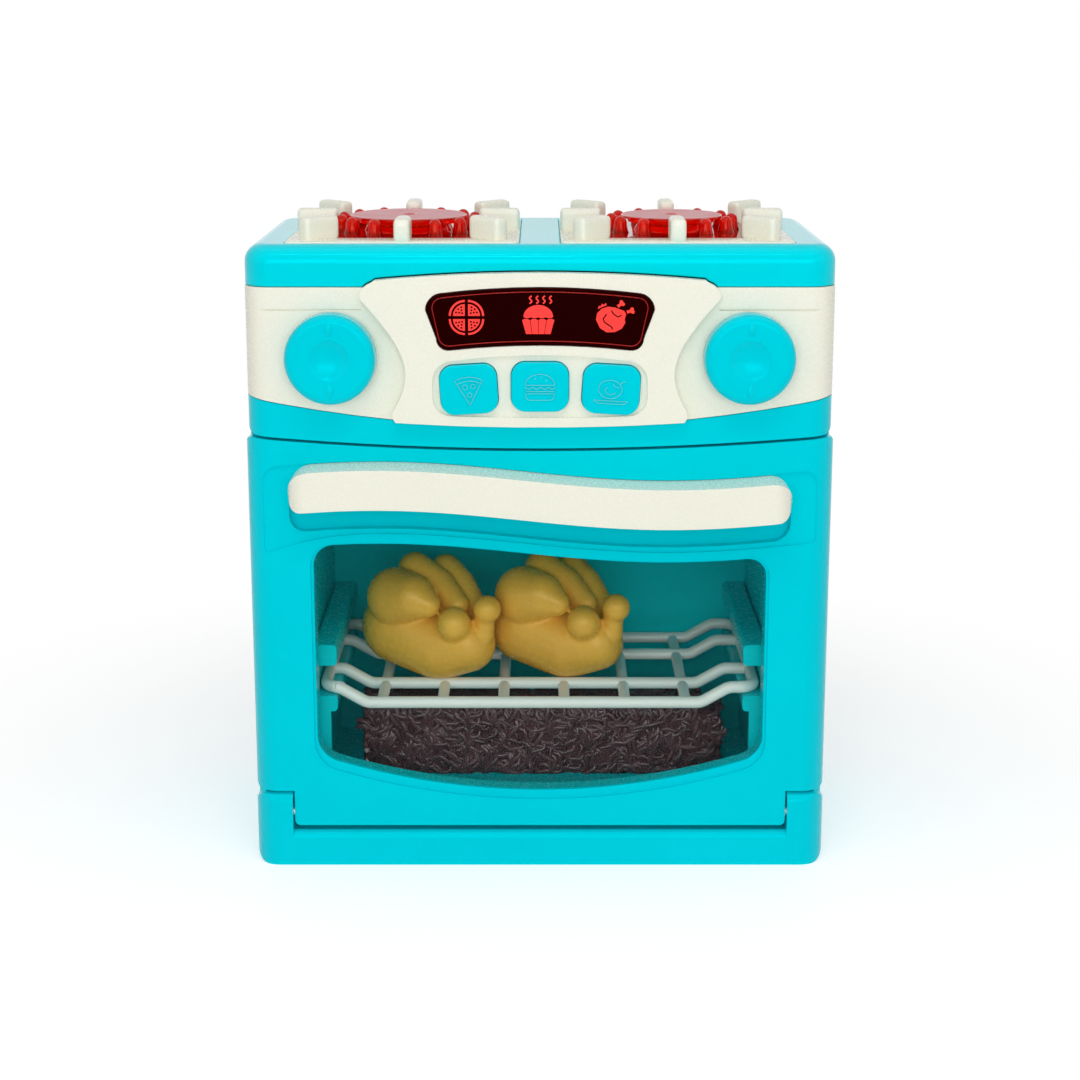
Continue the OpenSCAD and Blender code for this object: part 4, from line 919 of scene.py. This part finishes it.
def bird():
    """A roast bird from the side: a plump body with two cut lines, two bone ends and a wing tip."""
    body = [(-5.6, -0.6), (-5.2, 1.6), (-3.6, 3.2), (-1.4, 3.9), (1.0, 3.6), (2.6, 3.0), (4.2, 2.4),
            (4.9, 1.2), (4.4, -0.4), (4.6, -1.8), (3.4, -3.8), (1.0, -5.0), (-1.8, -5.1), (-4.2, -3.6)]
    thigh = ribbon([(-1.9, 1.3), (-3.1, -0.4), (-2.6, -1.6), (-1.4, -2.4), (-0.2, -3.2),
                    (0.2, -4.0)], 0.45)
    leg = ribbon([(3.3, 0.9), (2.1, 0.3), (1.0, 0.9), (0.3, 1.6), (-0.2, 2.5)], 0.42)
    wing = [(-5.0, 3.0), (-4.6, 4.3), (-4.1, 3.9), (-3.5, 5.0), (-3.0, 4.5), (-2.2, 5.2),
            (-1.9, 4.4), (-3.7, 3.7)]
    return [body, thigh, leg, bone(5.1, 2.0, 15), bone(1.9, 3.9, 38), wing]


lens_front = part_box("display_lens")[0].y - 0.03 * MM
for name, drawing, x, z in (("picture_pie", pie(), -25.5, 205.0), ("picture_bun", bun(), -0.6, 205.0),
                            ("picture_bird", bird(), 25.0, 204.9)):
    picture = flat_shape(name, drawing, (x * MM, lens_front, z * MM), glow_red)
    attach(picture, "cabinet")
    print(name, "faces:", len(picture.data.polygons))


# %% Lens rim, a painted highlight
def lens_rim_highlight(inset):
    """Points round the lens, inset from its edge, in the plane of its front."""
    path = []
    top, low = 215.4 - inset, 195.2 + inset
    half_top, half_low = 39.7 - inset, 36.0 - inset
    bend, steps = 560, 20
    for i in range(steps + 1):
        x = -half_top + 2 * half_top * i / steps
        path.append((x, top - x * x / bend))
    for i in range(steps + 1):
        x = half_low - 2 * half_low * i / steps
        path.append((x, low - x * x / bend))
    return [(x * MM, lens_front + 0.05 * MM, z * MM) for x, z in path + path[:1]]


# A thin red bar inset round the lens front paints in the highlight that the lens's edge catches.
rim = through_tree("lens_rim_highlight", paths_mesh("lens_rim_highlight", [lens_rim_highlight(1.5)]), round_bars,
                   Bar_radius=0.2 * MM, Corner_radius=3.6 * MM, Sides=8, Finish=rim_highlight_red)
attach(rim, "cabinet")
print("lens rim faces:", len(rim.data.polygons))

# %% [markdown]
# ## Line drawings on the buttons
# Each button has a line drawing moulded into its domed front. The lines are paths bent onto the
# dome, swept by the same round bar tree as the rack, and they move with their button.

# %% Button drawings
BUTTON_PITCH, BUTTON_Z, BUTTON_DROP = 24.9, 180.5, 0.9
DOME_FRONT, DOME_BEND = -57.2, 180
line_finish = plastic("line_pale", (0.12, 0.62, 0.68), 0.2, BLUE_SHINE, 0.6)


def closed_circle(*sizes):
    """A circle as a path that ends on its first point."""
    points = circle(*sizes)
    return points + points[:1]


slice_lines = [[(-4.6, 3.4), (0.2, -5.4), (5.0, 3.2), (2.6, 4.3), (-0.2, 4.6), (-2.8, 4.2), (-4.6, 3.4)],
               [(-3.9, 2.2), (-2.0, 2.9), (0.2, 3.2), (2.4, 2.9), (4.3, 2.1)],
               closed_circle(-1.2, 1.0, 0.9, 1, 12), closed_circle(1.6, 1.2, 0.8, 1, 12),
               closed_circle(0.2, -1.8, 0.8, 1, 12)]
burger_lines = [circle(0, 0.8, 3.9, 1.3, 20, 0, 180) + [(5.07, 0.8)],
                [(-5.07, 0.8), (5.07, 0.8)],
                [(-5.4, 0.1), (-4.0, -0.7), (-2.6, 0.1), (-1.2, -0.7), (0.2, 0.1), (1.6, -0.7),
                 (3.0, 0.1), (4.4, -0.7), (5.4, 0.1)],
                [(-5.0, -1.4), (5.0, -1.4)],
                [(-5.0, -2.2), (5.0, -2.2), (4.8, -3.8), (3.8, -4.5), (-3.8, -4.5), (-4.8, -3.8),
                 (-5.0, -2.2)],
                [(-2.0, 3.0), (-1.4, 3.2)], [(0.2, 3.6), (0.8, 3.5)], [(2.0, 2.6), (2.6, 2.4)]]
roast_lines = [closed_circle(-0.4, 0.2, 3.3, 1.25, 22),
               [(-1.6, 0.9), (-2.3, -0.2), (-1.4, -1.4), (0.2, -1.7), (1.6, -0.9)],
               [(2.6, 1.9), (4.2, 3.2), (4.9, 3.0)], [(-6.0, -3.9), (6.0, -3.9)],
               [(-6.0, -3.9), (-4.6, -4.9), (4.6, -4.9), (6.0, -3.9)],
               [(0.4, 2.1), (1.4, 1.2), (2.8, 0.9)]]
for i, side, lines in ((-1, "left", slice_lines), (0, "middle", burger_lines), (1, "right", roast_lines)):
    centre_x, centre_z = BUTTON_PITCH * i, BUTTON_Z - BUTTON_DROP * abs(i)
    lean = math.radians(3.5 * i)
    paths = []
    for line in lines:
        dense = []
        for (ax, ay), (bx, by) in zip(line, line[1:]):
            steps = max(1, round(math.hypot(bx - ax, by - ay) / 0.8))
            dense += [(ax + (bx - ax) * t / steps, ay + (by - ay) * t / steps) for t in range(steps)]
        dense.append(line[-1])
        paths.append([((centre_x + x * math.cos(lean) + y * math.sin(lean)) * MM,
                       (DOME_FRONT + (x * x + y * y) / DOME_BEND - 0.02) * MM,
                       (centre_z + y * math.cos(lean) - x * math.sin(lean)) * MM) for x, y in dense])
    drawing = through_tree("drawing_" + side, paths_mesh("drawing_" + side, paths), round_bars,
                           Bar_radius=0.16 * MM, Corner_radius=0.0, Sides=6, Finish=line_finish)
    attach(drawing, "button_" + side)
    print(drawing.name, "faces:", len(drawing.data.polygons))

# %% [markdown]
# ## Roast chickens
# The play food is soft-edged moulded plastic: a plump body, two thighs swept down to leg ends,
# and a tail. Chains of smooth lumps run along each limb, a voxel remesh fuses them, and a
# smoothing pass relaxes the skin, so the limbs flow together but keep the folds between them.

# %% Chicken
chicken_finish = plastic("roast_brown", (0.9, 0.45, 0.06), 0.26, (1, 0.8, 0.5), 0.5, swirl=0.2,
                         grain=0.05, grain_size=0.0012)
# each chain is a row of lumps, x, y, z and radius in millimetres from the foot
ROAST_CHAINS = [
    [(-12.3, 5, 18.3, 15.4), (2.8, -3, 12.6, 13.6), (4, 8, 22, 13), (-12.3, 5, 18.3, 15.4)],
    [(2.8, -3, 12.6, 13.6), (13.8, -8, 14.5, 10.8)],
    [(-13.6, -3, 32, 11.5), (-7.4, -9, 33.8, 9), (-1.1, -13, 31.8, 5)],
    [(-6.8, 6, 40.3, 6.9), (2.8, 1, 35.7, 6), (10.1, -7, 30, 4.5)],
    [(4.7, 12, 38.2, 6.5), (10.3, 7, 33.9, 6.2), (16, -1, 28.2, 4.8)],
    [(8.9, -16, 25.2, 6.4), (10, -9, 20, 7)],
    [(21.4, -13.5, 30.2, 5.4), (20.4, -12, 27, 4), (20.2, -12, 19.5, 4), (15, -8, 18, 7)],
]
FOOT = {"chicken_left": (-41.5, -3, 57.3), "chicken_right": (7.5, -1.2, 57.3)}


def roast(name, node):
    """One chicken, its chains of lumps placed where the CAD solid it stands for has them."""
    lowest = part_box(node)[0].z + 0.05 * MM
    foot = Vector(FOOT[node]) * MM
    ball = bmesh.new()
    bmesh.ops.create_icosphere(ball, subdivisions=3, radius=1)
    ball_points = [v.co.copy() for v in ball.verts]
    ball_faces = [[v.index for v in f.verts] for f in ball.faces]
    ball.free()
    points, faces = [], []
    steps = 5
    for chain in ROAST_CHAINS:
        for one, two in zip(chain, chain[1:]):
            for step in range(steps + 1):
                x, y, z, r = [a + (b - a) * step / steps for a, b in zip(one, two)]
                start = len(points)
                points += [foot + (Vector((x, y, z)) + p * r) * MM for p in ball_points]
                faces += [[start + i for i in face] for face in ball_faces]
    mesh = bpy.data.meshes.new(name)
    mesh.from_pydata(points, [], faces)
    bird = bpy.data.objects.new(name, mesh)
    scene.collection.objects.link(bird)
    fuse = bird.modifiers.new("fuse", "REMESH")
    fuse.mode = "VOXEL"
    fuse.voxel_size = 0.6 * MM
    relax = bird.modifiers.new("relax", "SMOOTH")
    relax.factor = 0.5
    relax.iterations = 6
    bpy.context.view_layer.update()
    made = bpy.data.meshes.new_from_object(bird.evaluated_get(bpy.context.evaluated_depsgraph_get()))
    bird.modifiers.clear()
    bird.data = made
    for vertex in made.vertices:
        vertex.co.z = max(vertex.co.z, lowest)
    made.shade_smooth()
    made.materials.append(chicken_finish)
    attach(bird, node)
    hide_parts(node)
    print(name, "faces:", len(made.polygons))
    return bird


roast("roast_left", "chicken_left")
roast("roast_right", "chicken_right")

# %% [markdown]
# ## Embers
# The ember bed is a block of dark clear plastic whose skin is covered with short curls, like
# shredded coals. They are scattered over the block by Geometry Nodes: points on its faces, and a
# small curl of tube on each, turned at random with a fixed seed.

# %% Ember finish
ember_finish = bpy.data.materials.new("ember_brown")
ember_finish.use_nodes = True
nodes, links = ember_finish.node_tree.nodes, ember_finish.node_tree.links
ember_shader = nodes["Principled BSDF"]
where = nodes.new("ShaderNodeTexCoord")
patches = nodes.new("ShaderNodeTexNoise")
patches.inputs["Scale"].default_value = 160
links.new(where.outputs["Object"], patches.inputs["Vector"])
ramp = nodes.new("ShaderNodeValToRGB")
ramp.color_ramp.elements[0].color = (0.045, 0.018, 0.022, 1)
ramp.color_ramp.elements[1].color = (0.19, 0.08, 0.09, 1)
links.new(patches.outputs["Fac"], ramp.inputs["Fac"])
links.new(ramp.outputs["Color"], ember_shader.inputs["Base Color"])
uneven = nodes.new("ShaderNodeMapRange")
uneven.inputs["To Min"].default_value = 0.1
uneven.inputs["To Max"].default_value = 0.28
links.new(patches.outputs["Fac"], uneven.inputs["Value"])
links.new(uneven.outputs["Result"], ember_shader.inputs["Roughness"])


# %% Scatter tree
def curl_tree():
    """Faces in, short curls of tube scattered over them out."""
    group = bpy.data.node_groups.new("scattered_curls", "GeometryNodeTree")
    face = group.interface
    face.new_socket("Block", in_out="INPUT", socket_type="NodeSocketGeometry")
    face.new_socket("Curls per area", in_out="INPUT", socket_type="NodeSocketFloat").default_value = 150000
    face.new_socket("Curl length", in_out="INPUT", socket_type="NodeSocketFloat").default_value = 0.006
    face.new_socket("Curl radius", in_out="INPUT", socket_type="NodeSocketFloat").default_value = 0.0008
    face.new_socket("Seed", in_out="INPUT", socket_type="NodeSocketInt").default_value = 3
    face.new_socket("Finish", in_out="INPUT", socket_type="NodeSocketMaterial")
    face.new_socket("Curls", in_out="OUTPUT", socket_type="NodeSocketGeometry")
    nodes, links = group.nodes, group.links
    given = nodes.new("NodeGroupInput")
    points = nodes.new("GeometryNodeDistributePointsOnFaces")
    arc = nodes.new("GeometryNodeCurvePrimitiveBezierSegment")
    arc.inputs["Resolution"].default_value = 6
    arc.inputs["Start"].default_value = (-0.5, 0, 0)
    arc.inputs["Start Handle"].default_value = (-0.2, 0.5, 0.12)
    arc.inputs["End Handle"].default_value = (0.2, -0.5, 0.12)
    arc.inputs["End"].default_value = (0.5, 0, 0)
    size = nodes.new("GeometryNodeTransform")
    stretch = nodes.new("ShaderNodeCombineXYZ")
    ring = nodes.new("GeometryNodeCurvePrimitiveCircle")
    ring.inputs["Resolution"].default_value = 6
    sweep = nodes.new("GeometryNodeCurveToMesh")
    sweep.inputs["Fill Caps"].default_value = True
    turn = nodes.new("FunctionNodeRandomValue")
    turn.data_type = "FLOAT"
    turn.inputs[2].default_value = 0
    turn.inputs[3].default_value = 6.28
    axis = nodes.new("ShaderNodeCombineXYZ")
    spin = nodes.new("FunctionNodeRotateRotation")
    spin.rotation_space = "LOCAL"
    to_rotation = nodes.new("FunctionNodeEulerToRotation")
    place = nodes.new("GeometryNodeInstanceOnPoints")
    grow = nodes.new("FunctionNodeRandomValue")
    grow.data_type = "FLOAT"
    grow.inputs[2].default_value = 0.7
    grow.inputs[3].default_value = 1.25
    real = nodes.new("GeometryNodeRealizeInstances")
    smooth = nodes.new("GeometryNodeSetShadeSmooth")
    both = nodes.new("GeometryNodeJoinGeometry")
    coat = nodes.new("GeometryNodeSetMaterial")
    result = nodes.new("NodeGroupOutput")
    links.new(given.outputs["Block"], points.inputs["Mesh"])
    links.new(given.outputs["Curls per area"], points.inputs["Density"])
    links.new(given.outputs["Seed"], points.inputs["Seed"])
    links.new(given.outputs["Curl length"], stretch.inputs[0])
    links.new(given.outputs["Curl length"], stretch.inputs[1])
    links.new(given.outputs["Curl length"], stretch.inputs[2])
    links.new(arc.outputs["Curve"], size.inputs["Geometry"])
    links.new(stretch.outputs[0], size.inputs["Scale"])
    links.new(given.outputs["Curl radius"], ring.inputs["Radius"])
    links.new(size.outputs["Geometry"], sweep.inputs["Curve"])
    links.new(ring.outputs["Curve"], sweep.inputs["Profile Curve"])
    links.new(given.outputs["Seed"], turn.inputs["Seed"])
    links.new(turn.outputs[1], axis.inputs[2])
    links.new(axis.outputs[0], to_rotation.inputs[0])
    links.new(points.outputs["Rotation"], spin.inputs["Rotation"])
    links.new(to_rotation.outputs[0], spin.inputs["Rotate By"])
    links.new(points.outputs["Points"], place.inputs["Points"])
    links.new(sweep.outputs["Mesh"], place.inputs["Instance"])
    links.new(spin.outputs["Rotation"], place.inputs["Rotation"])
    links.new(grow.outputs[1], place.inputs["Scale"])
    links.new(place.outputs["Instances"], real.inputs["Geometry"])
    links.new(real.outputs["Geometry"], smooth.inputs["Geometry"])
    links.new(smooth.outputs["Geometry"], both.inputs[0])
    links.new(given.outputs["Block"], both.inputs[0])
    links.new(both.outputs["Geometry"], coat.inputs["Geometry"])
    links.new(given.outputs["Finish"], coat.inputs["Material"])
    links.new(coat.outputs["Geometry"], result.inputs["Curls"])
    return group


block = frame["nodes"]["ember_bed"].data.copy()
bm = bmesh.new()
bm.from_mesh(block)
bmesh.ops.remove_doubles(bm, verts=bm.verts, dist=0.000004)
ember_lo, ember_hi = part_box("ember_bed")
WELL_INSIDE = 1.9 * MM


def inner(point):
    """True for a point of the block's hollow, away from its outer skin."""
    return (ember_lo.x + WELL_INSIDE < point.x < ember_hi.x - WELL_INSIDE
            and ember_lo.y + WELL_INSIDE < point.y < ember_hi.y - WELL_INSIDE
            and point.z < ember_hi.z - WELL_INSIDE)


hidden = [f for f in bm.faces if f.normal.z < -0.5 or all(inner(v.co) for v in f.verts)]
bmesh.ops.delete(bm, geom=hidden, context="FACES")
bm.to_mesh(block)
bm.free()
embers = through_tree("embers", block, curl_tree(), Curls_per_area=190000.0, Curl_length=7.0 * MM,
                      Curl_radius=0.95 * MM, Seed=4, Finish=ember_finish)
for vertex in embers.data.vertices:
    vertex.co.z = max(vertex.co.z, ember_lo.z)
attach(embers, "cabinet")
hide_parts("ember_bed")
print("ember faces:", len(embers.data.polygons))
